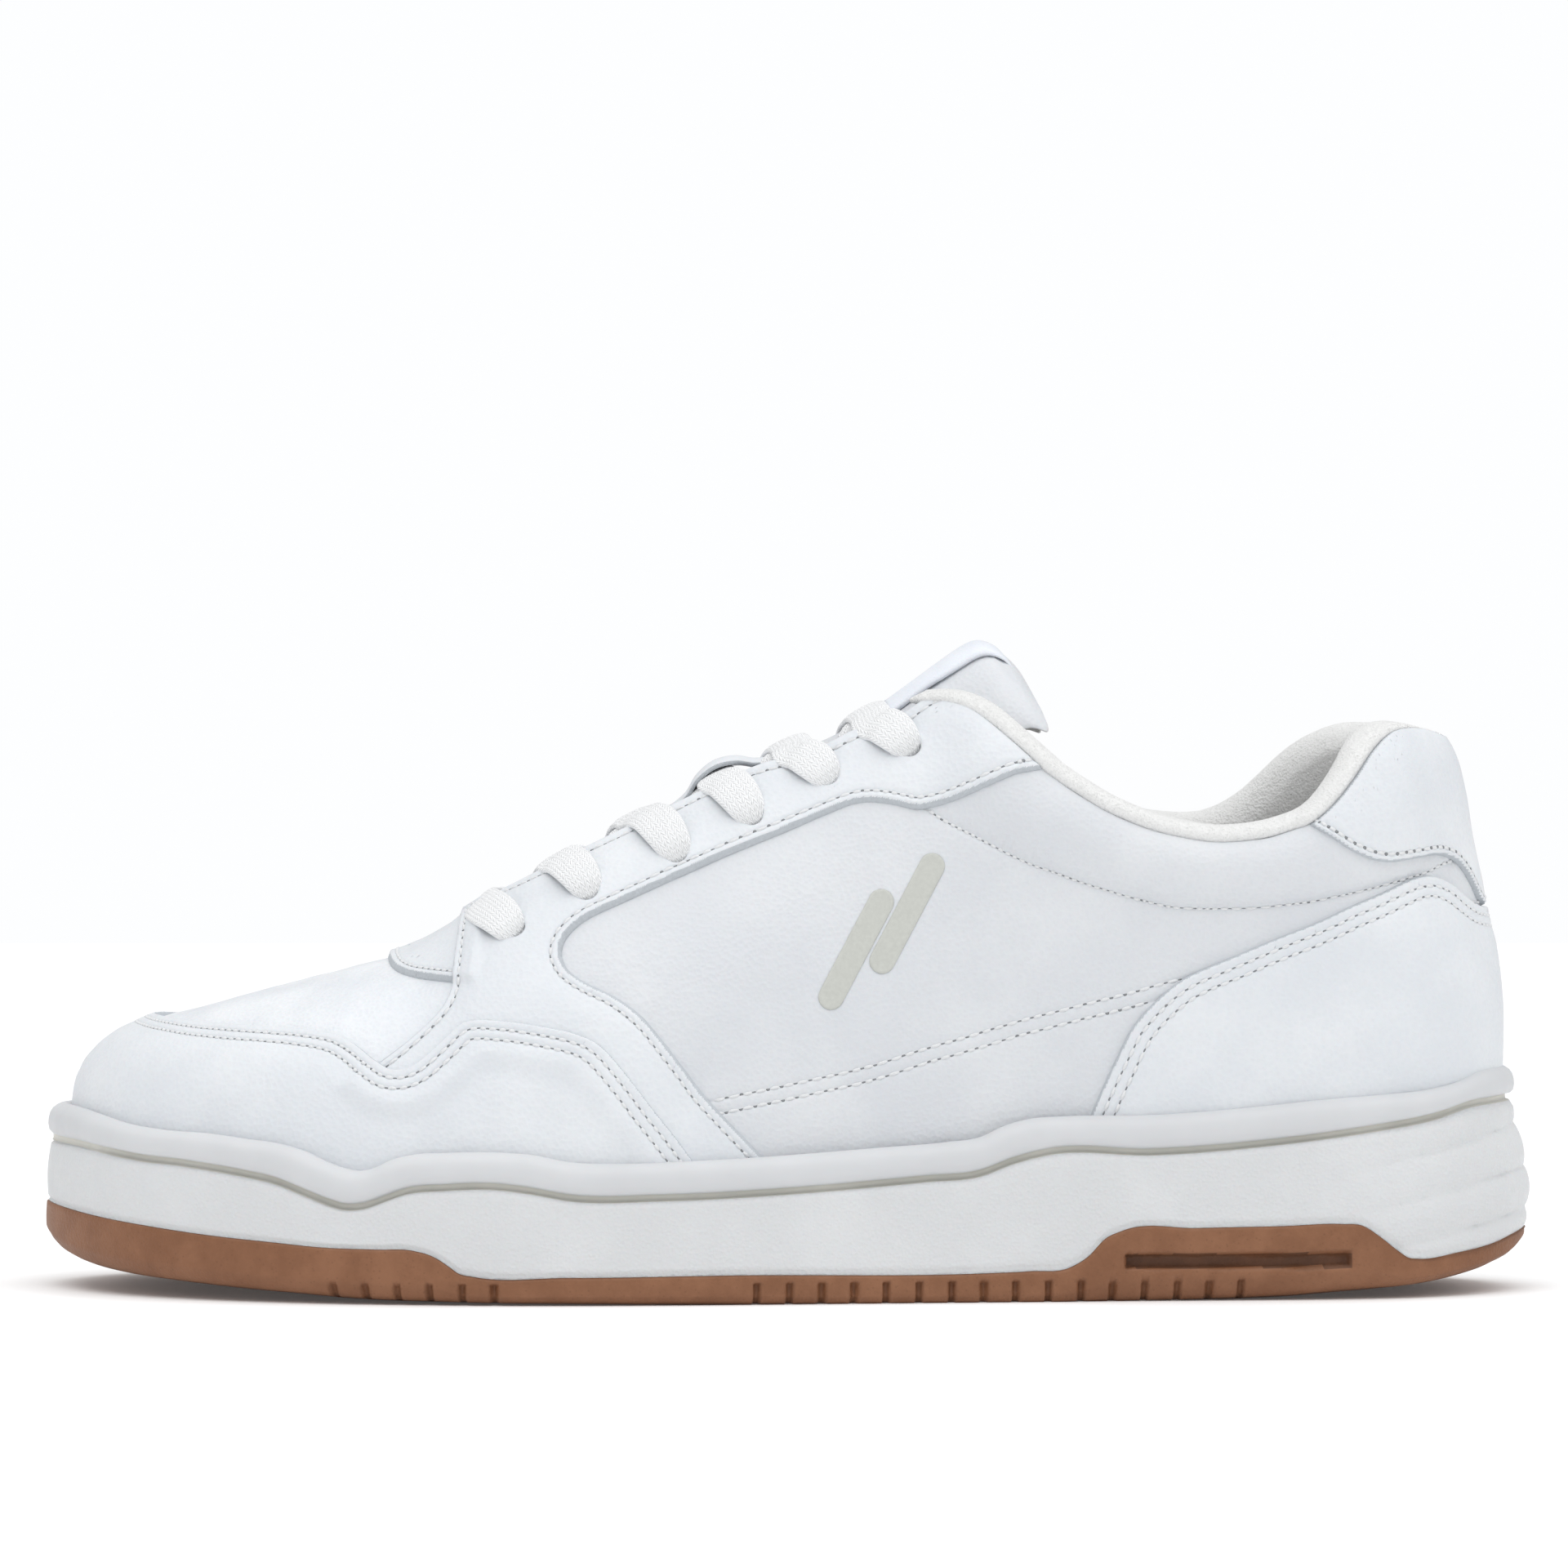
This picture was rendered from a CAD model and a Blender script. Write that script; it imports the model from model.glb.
import math

import bmesh
import bpy
import numpy as np
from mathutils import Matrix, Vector
from mathutils.kdtree import KDTree


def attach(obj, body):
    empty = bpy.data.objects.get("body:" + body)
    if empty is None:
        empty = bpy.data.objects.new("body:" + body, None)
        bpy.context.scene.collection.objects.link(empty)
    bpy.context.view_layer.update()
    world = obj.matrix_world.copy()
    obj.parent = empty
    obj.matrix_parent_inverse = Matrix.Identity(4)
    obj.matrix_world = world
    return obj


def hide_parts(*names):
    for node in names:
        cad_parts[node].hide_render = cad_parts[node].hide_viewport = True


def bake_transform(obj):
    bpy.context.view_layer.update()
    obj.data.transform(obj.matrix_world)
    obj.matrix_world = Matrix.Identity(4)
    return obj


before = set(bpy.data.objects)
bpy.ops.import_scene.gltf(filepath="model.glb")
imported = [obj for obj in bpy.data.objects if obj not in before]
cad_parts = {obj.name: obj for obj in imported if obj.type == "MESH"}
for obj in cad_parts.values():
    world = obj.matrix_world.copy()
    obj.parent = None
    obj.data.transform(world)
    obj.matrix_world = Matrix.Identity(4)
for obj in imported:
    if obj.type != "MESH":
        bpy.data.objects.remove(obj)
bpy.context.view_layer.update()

# ------------------------------------------------------------------ driving sizes (mm, as in the CAD)
# Toe at -X, heel at +X, lateral side at -Y, ground at Z = 0. Meshes are scaled to metres when made.
MM = 0.001
UPPER_INSET = 6.3

OUTLINE = [
    (-149, 10), (-143.5, 28), (-130, 42), (-108, 51), (-78, 54.5), (-45, 51),
    (-10, 43), (25, 38.5), (60, 38.5), (95, 39), (125, 33.5), (143, 17.5),
    (149, 0), (143, -17.5), (125, -33.5), (95, -40), (60, -43), (20, -47.5),
    (-15, -52.5), (-48, -54.5), (-80, -51.5), (-108, -42.5), (-130, -28), (-143.5, -9.5),
]
RIDGE = [
    (-142.8, 33), (-142, 39), (-140.5, 43.2), (-138, 46.6), (-134.5, 49.6), (-130, 52.2),
    (-124, 54.4), (-118.8, 55.7), (-110.5, 57.9), (-98, 61.1), (-85.4, 64.6), (-80, 66),
    (-72, 68.5), (-65, 72.8), (-58, 79), (-50, 84.8), (-38.5, 91.5), (-23.6, 99.3), (-5.8, 108),
    (13, 115.5), (30, 124), (40, 131), (55, 139), (75, 146), (100, 148), (144, 148),
]
FEATHER = [
    (-142, 24), (-120, 19), (-80, 15.5), (-40, 15), (0, 17), (40, 21), (80, 24.5), (120, 26),
    (144, 27),
]
SQUARENESS = [
    (-142, 2.2), (-120, 2.4), (-100, 2.4), (-70, 2.1), (-40, 1.9), (0, 1.9), (30, 2.2), (60, 2.5),
    (100, 2.6), (144, 2.6),
]
MIDDLE = [(-143, 9), (-100, 3), (-60, -1), (0, -2), (60, -1), (144, 0)]
LEAN = [
    (20, 1), (45, 0), (55, -0.2), (67, 1), (76, 2.8), (85, 4.9), (91, 6.2), (100, 7.6), (106, 9.2),
    (110, 11.5), (114, 15), (120, 22), (150, 60),
]


def smooth(table, x):
    """Smooth curve through the (x, value) points of a table, for an array of x."""
    xs, ys = (np.array(column, float) for column in zip(*table))
    slopes = np.gradient(ys, xs)
    x = np.clip(np.asarray(x, float), xs[0], xs[-1])
    i = np.clip(np.searchsorted(xs, x) - 1, 0, len(xs) - 2)
    run = xs[i + 1] - xs[i]
    t = (x - xs[i]) / run
    rise = ys[i] * (2 * t**3 - 3 * t**2 + 1) + ys[i + 1] * (3 * t**2 - 2 * t**3)
    return rise + run * (slopes[i] * (t**3 - 2 * t**2 + t) + slopes[i + 1] * (t**3 - t**2))


def smoothstep(low, high, value):
    """0 at low, 1 at high, with an even ease between; low may be the greater."""
    t = np.clip((value - low) / (high - low), 0, 1)
    return t * t * (3 - 2 * t)


def closed_curve(points, count):
    """Evenly parametrised points of the periodic cubic spline through some points."""
    p = np.array(points, float)
    n = len(p)
    h = np.linalg.norm(np.roll(p, -1, 0) - p, axis=1)
    system = np.zeros((n, n))
    right = np.zeros((n, p.shape[1]))
    for i in range(n):
        before, after = h[i - 1], h[i]
        system[i, i - 1] += before
        system[i, i] += 2 * (before + after)
        system[i, (i + 1) % n] += after
        right[i] = 6 * ((p[(i + 1) % n] - p[i]) / after - (p[i] - p[i - 1]) / before)
    bend = np.linalg.solve(system, right)
    d = np.r_[0, np.cumsum(h)]
    t = np.linspace(0, d[-1], count, endpoint=False)
    k = np.clip(np.searchsorted(d, t, side="right") - 1, 0, n - 1)
    u = (t - d[k])[:, None]
    run = h[k][:, None]
    nxt = (k + 1) % n
    curve = bend[k] * (run - u) ** 3 / (6 * run) + bend[nxt] * u**3 / (6 * run)
    curve += (p[k] / run - bend[k] * run / 6) * (run - u) + (p[nxt] / run - bend[nxt] * run / 6) * u
    return curve


outline_curve = closed_curve(OUTLINE, 4000)
along = np.roll(outline_curve, -1, 0) - np.roll(outline_curve, 1, 0)
along /= np.linalg.norm(along, axis=1)[:, None]
outline_out = np.c_[-along[:, 1], along[:, 0]]


def flanks(grow):
    """Lateral and medial flank of the outline moved outward by grow, each sorted by x."""
    ring = outline_curve + outline_out * grow
    toe, heel = ring[:, 0].argmin(), ring[:, 0].argmax()
    ring = np.roll(ring, -toe, 0)
    heel = (heel - toe) % len(ring)
    medial = ring[: heel + 1]
    lateral = np.r_[ring[heel:], ring[:1]][::-1]
    return lateral, medial


# ------------------------------------------------------------------ the last's surface
LATERAL, MEDIAL = flanks(-UPPER_INSET)
TOE_X, HEEL_X = LATERAL[0, 0], LATERAL[-1, 0]
STATIONS = 300
GIRTH_STEPS = 150


def heel_share(x):
    """0..1: how much of the heel's backward lean applies at x."""
    return smoothstep(50, 140, x)


def surface(theta, girth):
    """Point of the base leather: theta 0..pi from toe to heel, girth 0..pi lateral to medial."""
    x = (TOE_X + HEEL_X) / 2 - (HEEL_X - TOE_X) / 2 * np.cos(theta)
    lateral = np.interp(x, LATERAL[:, 0], LATERAL[:, 1])
    medial = np.interp(x, MEDIAL[:, 0], MEDIAL[:, 1])
    width = np.maximum(medial - lateral, 1e-6)
    share = np.clip((smooth(MIDDLE, x) - lateral) / width, 0.35, 0.65)
    middle = lateral + width * share
    foot, top, square = smooth(FEATHER, x), smooth(RIDGE, x), smooth(SQUARENESS, x)
    rise = np.sin(girth).clip(0) ** (2 / square)
    spread = np.abs(np.cos(girth)) ** (2 / square)
    edge = np.where(girth < math.pi / 2, lateral, medial)
    z = foot + (top - foot) * rise
    y = middle + (edge - middle) * spread
    return np.stack([x - smooth(LEAN, z) * heel_share(x), y, z], -1)


def grid_faces(rows, columns):
    """Two triangles for each cell of a grid."""
    i, j = np.meshgrid(np.arange(rows - 1), np.arange(columns - 1), indexing="ij")
    a = (i * columns + j).ravel()
    b, c, d = a + columns, a + columns + 1, a + 1
    return np.r_[np.c_[a, b, c], np.c_[a, c, d]]


def drop_slivers(points, faces):
    """Leave out triangles without area."""
    a, b, c = (points[faces[:, k]] for k in range(3))
    area = np.linalg.norm(np.cross(b - a, c - a), axis=1)
    return faces[area > 1e-7]


def normals_of(points, faces):
    """Vertex normals from the faces' areas, shared by vertices at the same place."""
    face_normals = np.cross(points[faces[:, 1]] - points[faces[:, 0]],
                            points[faces[:, 2]] - points[faces[:, 0]])
    key = np.round(points, 3)
    _, group = np.unique(key, axis=0, return_inverse=True)
    group = group.ravel()
    total = np.zeros((group.max() + 1, 3))
    for k in range(3):
        np.add.at(total, group[faces[:, k]], face_normals)
    length = np.linalg.norm(total, axis=1, keepdims=True)
    return (total / np.maximum(length, 1e-12))[group]


class Patch:
    """Triangles on the last, kept by their surface coordinates so that new vertices lie on it."""

    def __init__(self, uv, faces):
        self.uv = uv
        self.faces = faces
        self.data = {}
        self.points = surface(uv[:, 0], uv[:, 1])

    def drop(self, gone):
        """Leave out the marked triangles and the vertices that nothing uses."""
        self.faces = self.faces[~gone]
        used = np.unique(self.faces)
        back = np.full(len(self.uv), -1)
        back[used] = np.arange(len(used))
        self.faces = back[self.faces]
        self.uv, self.points = self.uv[used], self.points[used]
        self.data = {key: value[used] for key, value in self.data.items()}

    def split(self, marked, t):
        """Cut every marked edge (a, b), a < b, at its share t and mend the triangles round it."""
        count = len(self.uv)
        code = marked[:, 0].astype(np.int64) * count + marked[:, 1]
        order = np.argsort(code)
        code = code[order]
        corners = np.full((len(self.faces), 3), -1)
        for k in range(3):
            a, b = self.faces[:, k], self.faces[:, (k + 1) % 3]
            edge = np.minimum(a, b).astype(np.int64) * count + np.maximum(a, b)
            spot = np.searchsorted(code, edge).clip(0, len(code) - 1)
            hit = code[spot] == edge
            corners[hit, k] = count + order[spot[hit]]
        cuts = (corners >= 0).sum(1)
        parts = [self.faces[cuts == 0]]
        for number in (1, 2):
            chosen = np.where(cuts == number)[0]
            if not len(chosen):
                continue
            has = corners[chosen] >= 0
            first = has.argmax(1) if number == 1 else (~has).argmax(1)
            turn = (first[:, None] + np.arange(3)) % 3
            v = np.take_along_axis(self.faces[chosen], turn, 1)
            m = np.take_along_axis(corners[chosen], turn, 1)
            if number == 1:
                parts += [np.c_[v[:, 0], m[:, 0], v[:, 2]], np.c_[m[:, 0], v[:, 1], v[:, 2]]]
            else:
                parts += [np.c_[v[:, 2], m[:, 2], m[:, 1]], np.c_[v[:, 0], v[:, 1], m[:, 1]],
                          np.c_[v[:, 0], m[:, 1], m[:, 2]]]
        chosen = np.where(cuts == 3)[0]
        v, m = self.faces[chosen], corners[chosen]
        parts += [np.c_[v[:, 0], m[:, 0], m[:, 2]], np.c_[m[:, 0], v[:, 1], m[:, 1]],
                  np.c_[m[:, 2], m[:, 1], v[:, 2]], m]
        one, two = marked[:, 0], marked[:, 1]
        new_uv = self.uv[one] * (1 - t[:, None]) + self.uv[two] * t[:, None]
        self.uv = np.r_[self.uv, new_uv]
        self.faces = np.concatenate(parts).astype(int)
        self.points = np.r_[self.points, surface(new_uv[:, 0], new_uv[:, 1])]
        for key, value in self.data.items():
            self.data[key] = np.r_[value, value[one] * (1 - t) + value[two] * t]

    def edges(self, chosen=slice(None)):
        """Pairs of vertices, each once, that the chosen triangles join."""
        some = self.faces[chosen]
        pairs = np.sort(np.r_[some[:, :2], some[:, 1:], some[:, ::2]], axis=1)
        return np.unique(pairs, axis=0)

    def refine(self, chosen):
        """Halve the edges of the chosen triangles."""
        pairs = self.edges(chosen)
        if len(pairs):
            self.split(pairs, np.full(len(pairs), 0.5))

    def score(self, key, level=0.0, snap=0.05):
        """Add a line of vertices where the named field equals level."""
        values = self.data[key] - level
        values[np.abs(values) < 1e-6] = 1e-6
        edges = self.edges()
        a, b = values[edges[:, 0]], values[edges[:, 1]]
        crossing = a * b < 0
        edges, a, b = edges[crossing], a[crossing], b[crossing]
        if len(edges):
            self.split(edges, (a / (a - b)).clip(snap, 1 - snap))

    def keep(self, key):
        """Drop the triangles where the named field is negative, after scoring its zero line."""
        self.score(key, snap=0.001)
        self.drop(self.data[key][self.faces].mean(1) < 0)

    def copy(self):
        """Another patch over the same triangles."""
        other = Patch.__new__(Patch)
        other.uv, other.faces, other.points = self.uv.copy(), self.faces.copy(), self.points.copy()
        other.data = dict(self.data)
        return other


theta_steps = np.linspace(0, math.pi, STATIONS + 1)
girth_steps = np.linspace(0, math.pi, GIRTH_STEPS + 1)
theta_grid, girth_grid = np.meshgrid(theta_steps, girth_steps, indexing="ij")
whole_uv = np.c_[theta_grid.ravel(), girth_grid.ravel()]
whole_faces = grid_faces(STATIONS + 1, GIRTH_STEPS + 1)
whole_faces = drop_slivers(surface(whole_uv[:, 0], whole_uv[:, 1]), whole_faces)
whole = Patch(whole_uv, whole_faces)

# ------------------------------------------------------------------ lines on the upper, in side view
TOPLINE_FRONT = [
    (14, 134), (20, 124), (23.4, 118.4), (25.6, 116.9), (28, 116.9), (30.7, 117.1), (33.6, 116.7),
    (37.7, 115), (42.5, 111.2), (48.4, 106), (54.3, 101), (60.2, 97.2),
]
TOPLINE_HEEL = [
    (119, 110.4), (122.4, 111.4), (125.1, 111.4), (128, 110.9), (131.5, 109.8), (140, 108.8),
    (160, 108.4),
]
TOPLINE = TOPLINE_FRONT + [
    (66.1, 94.1), (72.5, 91.7), (78.9, 90.2), (85.3, 89.4), (91.9, 89.8), (96.1, 90.5),
    (102.7, 92.8), (105.4, 94.6), (108.5, 97.6), (112, 102), (115.4, 107),
] + TOPLINE_HEEL
MEDIAL_TOPLINE = TOPLINE_FRONT + [
    (66.1, 94.4), (72.5, 92.5), (78.9, 91.7), (84, 91.7), (89, 93), (94.9, 96.4), (99.5, 100.4),
    (103.5, 104.2), (107.5, 107), (113.5, 109.4),
] + TOPLINE_HEEL
TOE_SEAM = [
    (-170, 53.5), (-150, 53.9), (-129.5, 53.9), (-117, 53), (-98, 52.4), (-91.3, 51.9), (-87.3, 51.2),
    (-84.3, 49.9), (-81.3, 47.8), (-78.8, 45.8), (-76.7, 44.6), (-74.2, 44.5), (-71.8, 45.3),
    (-69, 47.5), (-65.8, 50.3), (-63.4, 52.6), (-61.4, 53.7), (-58.5, 54.1), (-52.7, 53.8),
    (-46.6, 53), (-41.3, 52), (-37, 50.4), (-34.4, 48.4), (-31.6, 45.3), (-28.3, 41.2),
    (-24.9, 36.8), (-21.5, 32.6), (-17.7, 27.5), (-8, 14),
]
STAY_REAR = [
    (62, 107), (50.3, 103.4), (46, 102.4), (41.7, 100.6), (33.2, 97.3), (26.7, 95.8), (22.9, 96.4),
    (19.4, 97), (16, 97.1), (11.7, 96.1), (1, 91.6), (-10.3, 87), (-18.5, 83.4), (-34.8, 76),
    (-38.8, 74), (-41.3, 72.1), (-42.9, 70.1), (-43.6, 67.9), (-43.2, 66.1), (-42, 64.1),
    (-38.6, 61.8), (-32.8, 59.1), (-27.6, 55.3), (-23.3, 50.3), (-19, 44.8), (-14.7, 39.3),
    (-4.2, 28.3), (8, 15),
]
STAY_FRONT = [
    (-62.6, 90), (-63.2, 78), (-63.6, 72.5), (-64.1, 68.2), (-64.8, 62.6), (-65.7, 59), (-67.3, 56.2),
    (-70, 53.4), (-74, 50), (-78, 47), (-86, 41),
]
TAB_FRONT = [
    (-79.3, 90), (-79.5, 76), (-79.6, 70), (-79.4, 67), (-78.6, 65.2), (-77, 63.8), (-74.3, 62.8),
    (-70, 62.2), (-65.1, 61.8), (-55, 61.2),
]
HEEL_SEAM = [
    (55, 22), (57.4, 29), (59.9, 36), (61.7, 40.2), (63.5, 44.2), (65.3, 47.8), (67.5, 52.3),
    (70.2, 55.8), (73.4, 59), (77.5, 62.3), (82, 64.5), (87.4, 66.7), (96, 70.3), (104.7, 73.7),
    (110.9, 76.6), (117.2, 79.2), (121.5, 81.2), (125, 82.4), (128.2, 82.5), (131.7, 81),
    (134.9, 78.4), (138, 76.6), (145, 76.2), (170, 76.2),
]
TAB_SEAM = [
    (96, 98), (102.6, 93), (104.8, 91.5), (107.7, 89.4), (110.2, 87.6), (113.1, 86.2), (116, 85.3),
    (119.4, 85.2), (123.8, 85.9), (128.3, 86.6), (130.9, 86.4), (133.3, 85.4), (135.2, 83.5),
    (137, 80.6), (138.4, 77.9), (140.3, 76.1), (146, 76), (170, 76),
]
COLLAR_SEAM = [
    (28, 96), (31, 94), (33.2, 92.7), (37.8, 90.4), (42.5, 87.9), (47.7, 85.4), (52.8, 83.6),
    (57.9, 81.7), (65.6, 79.3), (71.2, 77.8), (76.3, 76.7), (83.2, 76.4), (91.9, 76.5),
    (98.3, 77.1), (104.8, 78), (112.2, 79.5), (115.3, 80.2), (121.7, 81.8), (127.5, 83.4),
    (135, 86), (160, 89),
]
QUARTER_SEAM = [
    (-22, 37.4), (-11.4, 39.7), (2.2, 42.5), (15.9, 45.5), (27.8, 49.2), (36.4, 51.6), (45.8, 54.4),
    (57.3, 57.3), (68.5, 60.1), (74.6, 61.8), (84, 64),
]
VAMP_REAR = [(-50, 110), (-52, 80), (-50, 66), (-36, 48), (-24, 34), (-12, 12)]
# Upper edge of the sole's rolled band.
BAND_TOP = [
    (-151, 36.6), (-145.4, 36.4), (-139.8, 35.4), (-131.8, 33.6), (-124.3, 32.8), (-113.6, 32.3),
    (-106.5, 31.5), (-99.6, 30.7), (-94.2, 29.3), (-89.3, 27.2), (-85.9, 26.1), (-83.2, 25.7),
    (-80.5, 26.2), (-77.2, 27.7), (-72.5, 28.9), (-65.8, 29.3), (-55.8, 29.4), (-48.6, 28.9),
    (-41.8, 27.6), (-31.7, 27.2), (-19, 27.6), (-4.6, 28.3), (19.2, 30), (32, 31), (38.8, 32),
    (43.1, 34), (48.2, 35.4), (55.1, 35.9), (72.2, 36.1), (89.4, 37.3), (106.7, 39),
    (119.8, 39.9), (128.9, 40.6), (136.4, 42), (142.6, 44.2), (150, 44.6),
]
# Half width of the lacing gap over x.
THROAT = [
    (-63, 0), (-62.6, 3), (-61.4, 6), (-59, 9), (-54, 11.6), (-38.4, 12.9), (-23.5, 12.4),
    (-5.8, 11.9), (8.8, 13.4), (13.1, 13.1), (24.8, 14.9), (29, 14.4), (36, 15.5), (45, 16), (52, 0),
    (60, -40), (150, -80),
]
EYELET_ROWS = [(-53, 25.8), (-38.3, 24), (-20.9, 23), (-6.3, 21.4), (8.9, 19.7), (24.8, 20.9)]


def fine(points, steps=6):
    """Open smooth curve through side-view points, Catmull-Rom."""
    p = np.array(points, float)
    p = np.r_[[2 * p[0] - p[1]], p, [2 * p[-1] - p[-2]]]
    t = np.arange(steps)[:, None] / steps
    out = []
    for a, b, c, d in zip(p, p[1:], p[2:], p[3:]):
        out.append(0.5 * (2 * b + (c - a) * t + (2 * a - 5 * b + 4 * c - d) * t**2
                          + (3 * b - a - 3 * c + d) * t**3))
    return np.r_[np.concatenate(out), [p[-2]]]


def distance_to_segments(points, starts, ends):
    """Distance of each point to the nearest of some short segments."""
    tree = KDTree(len(starts))
    for index, middle in enumerate((starts + ends) / 2):
        tree.insert(middle, index)
    tree.balance()
    near = min(4, len(starts))
    found = np.array([[hit[1] for hit in tree.find_n(p, near)] for p in points])
    start, run = starts[found], (ends - starts)[found]
    gap = points[:, None, :] - start
    t = ((gap * run).sum(-1) / np.maximum((run**2).sum(-1), 1e-12)).clip(0, 1)
    return np.sqrt(((gap - t[..., None] * run) ** 2).sum(-1).min(1))


class Line:
    """A side-view curve, the same on both sides: its left, going along it, is positive."""

    def __init__(self, points, sign=1.0):
        self.sign = sign
        self.curve = fine(points)

    def __call__(self, points):
        """Signed distance in side view."""
        xz = points[:, [0, 2]]
        starts, run = self.curve[:-1], np.diff(self.curve, axis=0)
        length2 = (run**2).sum(1)
        out = np.empty(len(xz))
        for i in range(0, len(xz), 6000):
            gap = xz[i:i + 6000, None, :] - starts
            t = ((gap * run).sum(-1) / length2).clip(0, 1)
            off = gap - t[..., None] * run
            d2 = (off**2).sum(-1)
            k = d2.argmin(1)
            rows = np.arange(len(k))
            cross = run[k, 0] * off[rows, k, 1] - run[k, 1] * off[rows, k, 0]
            out[i:i + 6000] = np.sqrt(d2[rows, k]) * np.where(cross >= 0, 1, -1)
        return out * self.sign


def throat_gap(points):
    """Distance in plan from the lacing gap's edge, negative inside the gap."""
    gap = np.abs(points[:, 1] - smooth(MIDDLE, points[:, 0])) - smooth(THROAT, points[:, 0])
    front = -62.9 - points[:, 0]
    return np.maximum(gap, front)


def zero_segments(faces, values, rows):
    """Ends of the segments where a field is zero across triangles, interpolated from each vertex's row."""
    values = values.copy()
    values[np.abs(values) < 1e-9] = 1e-9
    sign = values[faces] > 0
    mixed = faces[(sign.sum(1) > 0) & (sign.sum(1) < 3)]
    starts = np.zeros((len(mixed), rows.shape[1]))
    stops = np.zeros_like(starts)
    filled = np.zeros(len(mixed), int)
    for k in range(3):
        a, b = mixed[:, k], mixed[:, (k + 1) % 3]
        hit = values[a] * values[b] < 0
        t = np.where(hit, values[a] / np.where(hit, values[a] - values[b], 1), 0)[:, None]
        spot = rows[a] * (1 - t) + rows[b] * t
        first, second = hit & (filled == 0), hit & (filled == 1)
        starts[first] = spot[first]
        stops[second] = spot[second]
        filled += hit
    return starts[filled == 2], stops[filled == 2]


def rough_strip(rough):
    """The part of the last beside a line, with the ends of the line's segments in surface coordinates."""
    patch = whole.copy()
    values = rough(patch.points)
    beside = ~(np.abs(values[patch.faces]) > STRIP).all(1)
    return zero_segments(patch.faces[beside], values, patch.uv)


STRIP = 5.0
REACH = 9.0


class Border:
    """Signed distance on the upper from a line, measured in space near where it crosses it."""

    def __init__(self, rough):
        self.rough = rough
        self.a, self.b = (surface(uv[:, 0], uv[:, 1]) for uv in rough_strip(rough))

    def __call__(self, points):
        out = self.rough(points)
        near = np.abs(out) < REACH
        if near.any():
            d = distance_to_segments(points[near], self.a, self.b)
            out[near] = np.minimum(d, REACH) * np.sign(out[near])
        return out


# ------------------------------------------------------------------ materials
class Shader:
    """A principled material put together from noise in the object's own millimetres."""

    def __init__(self, name, colour, roughness=0.5, **settings):
        self.material = bpy.data.materials.new(name)
        self.material.use_nodes = True
        self.tree = self.material.node_tree
        self.principled = self.tree.nodes["Principled BSDF"]
        self.set(self.principled, "Base Color", colour)
        self.set(self.principled, "Roughness", roughness)
        self.height = None
        for key, value in settings.items():
            self.set(self.principled, key.replace("_", " "), value)
        spot = self.tree.nodes.new("ShaderNodeTexCoord")
        scaled = self.tree.nodes.new("ShaderNodeVectorMath")
        scaled.operation = "SCALE"
        scaled.inputs["Scale"].default_value = 1000
        self.tree.links.new(spot.outputs["Object"], scaled.inputs[0])
        self.place = scaled.outputs[0]
        self.uv = spot.outputs["UV"]

    def set(self, node, socket, value):
        """Link a socket to an output or give it a plain value."""
        target = node.inputs[socket]
        if isinstance(value, bpy.types.NodeSocket):
            self.tree.links.new(value, target)
        elif isinstance(value, tuple) and len(value) == 3 and target.type == "RGBA":
            target.default_value = (*value, 1)
        else:
            target.default_value = value

    def math(self, operation, a, b=0.0, c=0.0):
        """Output of a math node."""
        node = self.tree.nodes.new("ShaderNodeMath")
        node.operation = operation
        for index, value in enumerate((a, b, c)):
            self.set(node, index, value)
        return node.outputs[0]

    def noise(self, size, detail=3.0, roughness=0.55, distortion=0.0):
        """Noise with features of a size in mm, 0..1."""
        node = self.tree.nodes.new("ShaderNodeTexNoise")
        self.set(node, "Vector", self.place)
        self.set(node, "Scale", 1 / size)
        self.set(node, "Detail", detail)
        self.set(node, "Roughness", roughness)
        self.set(node, "Distortion", distortion)
        return node.outputs["Fac"]

    def cells(self, size):
        """Distance field of random cells of a size in mm."""
        node = self.tree.nodes.new("ShaderNodeTexVoronoi")
        self.set(node, "Vector", self.place)
        self.set(node, "Scale", 1 / size)
        return node.outputs["Distance"]

    def step(self, value, low, high, out_low=0.0, out_high=1.0):
        """Value mapped from low..high to out_low..out_high, clamped."""
        node = self.tree.nodes.new("ShaderNodeMapRange")
        node.interpolation_type = "SMOOTHSTEP"
        for index, item in enumerate((value, low, high, out_low, out_high)):
            self.set(node, index, item)
        return node.outputs[0]

    def mix(self, share, one, two):
        """Colour between one and two."""
        node = self.tree.nodes.new("ShaderNodeMix")
        node.data_type = "RGBA"
        self.set(node, 0, share)
        self.set(node, 6, one)
        self.set(node, 7, two)
        return node.outputs[2]

    def colour(self, value):
        self.set(self.principled, "Base Color", value)

    def roughness(self, value):
        self.set(self.principled, "Roughness", value)

    def bump(self, height, depth):
        """Relief of a depth in mm; later calls stack on earlier ones."""
        node = self.tree.nodes.new("ShaderNodeBump")
        self.set(node, "Height", height)
        self.set(node, "Distance", depth * MM)
        self.set(node, "Strength", 1.0)
        if self.height is not None:
            self.set(node, "Normal", self.height)
        self.height = node.outputs[0]
        self.set(self.principled, "Normal", self.height)


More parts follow.
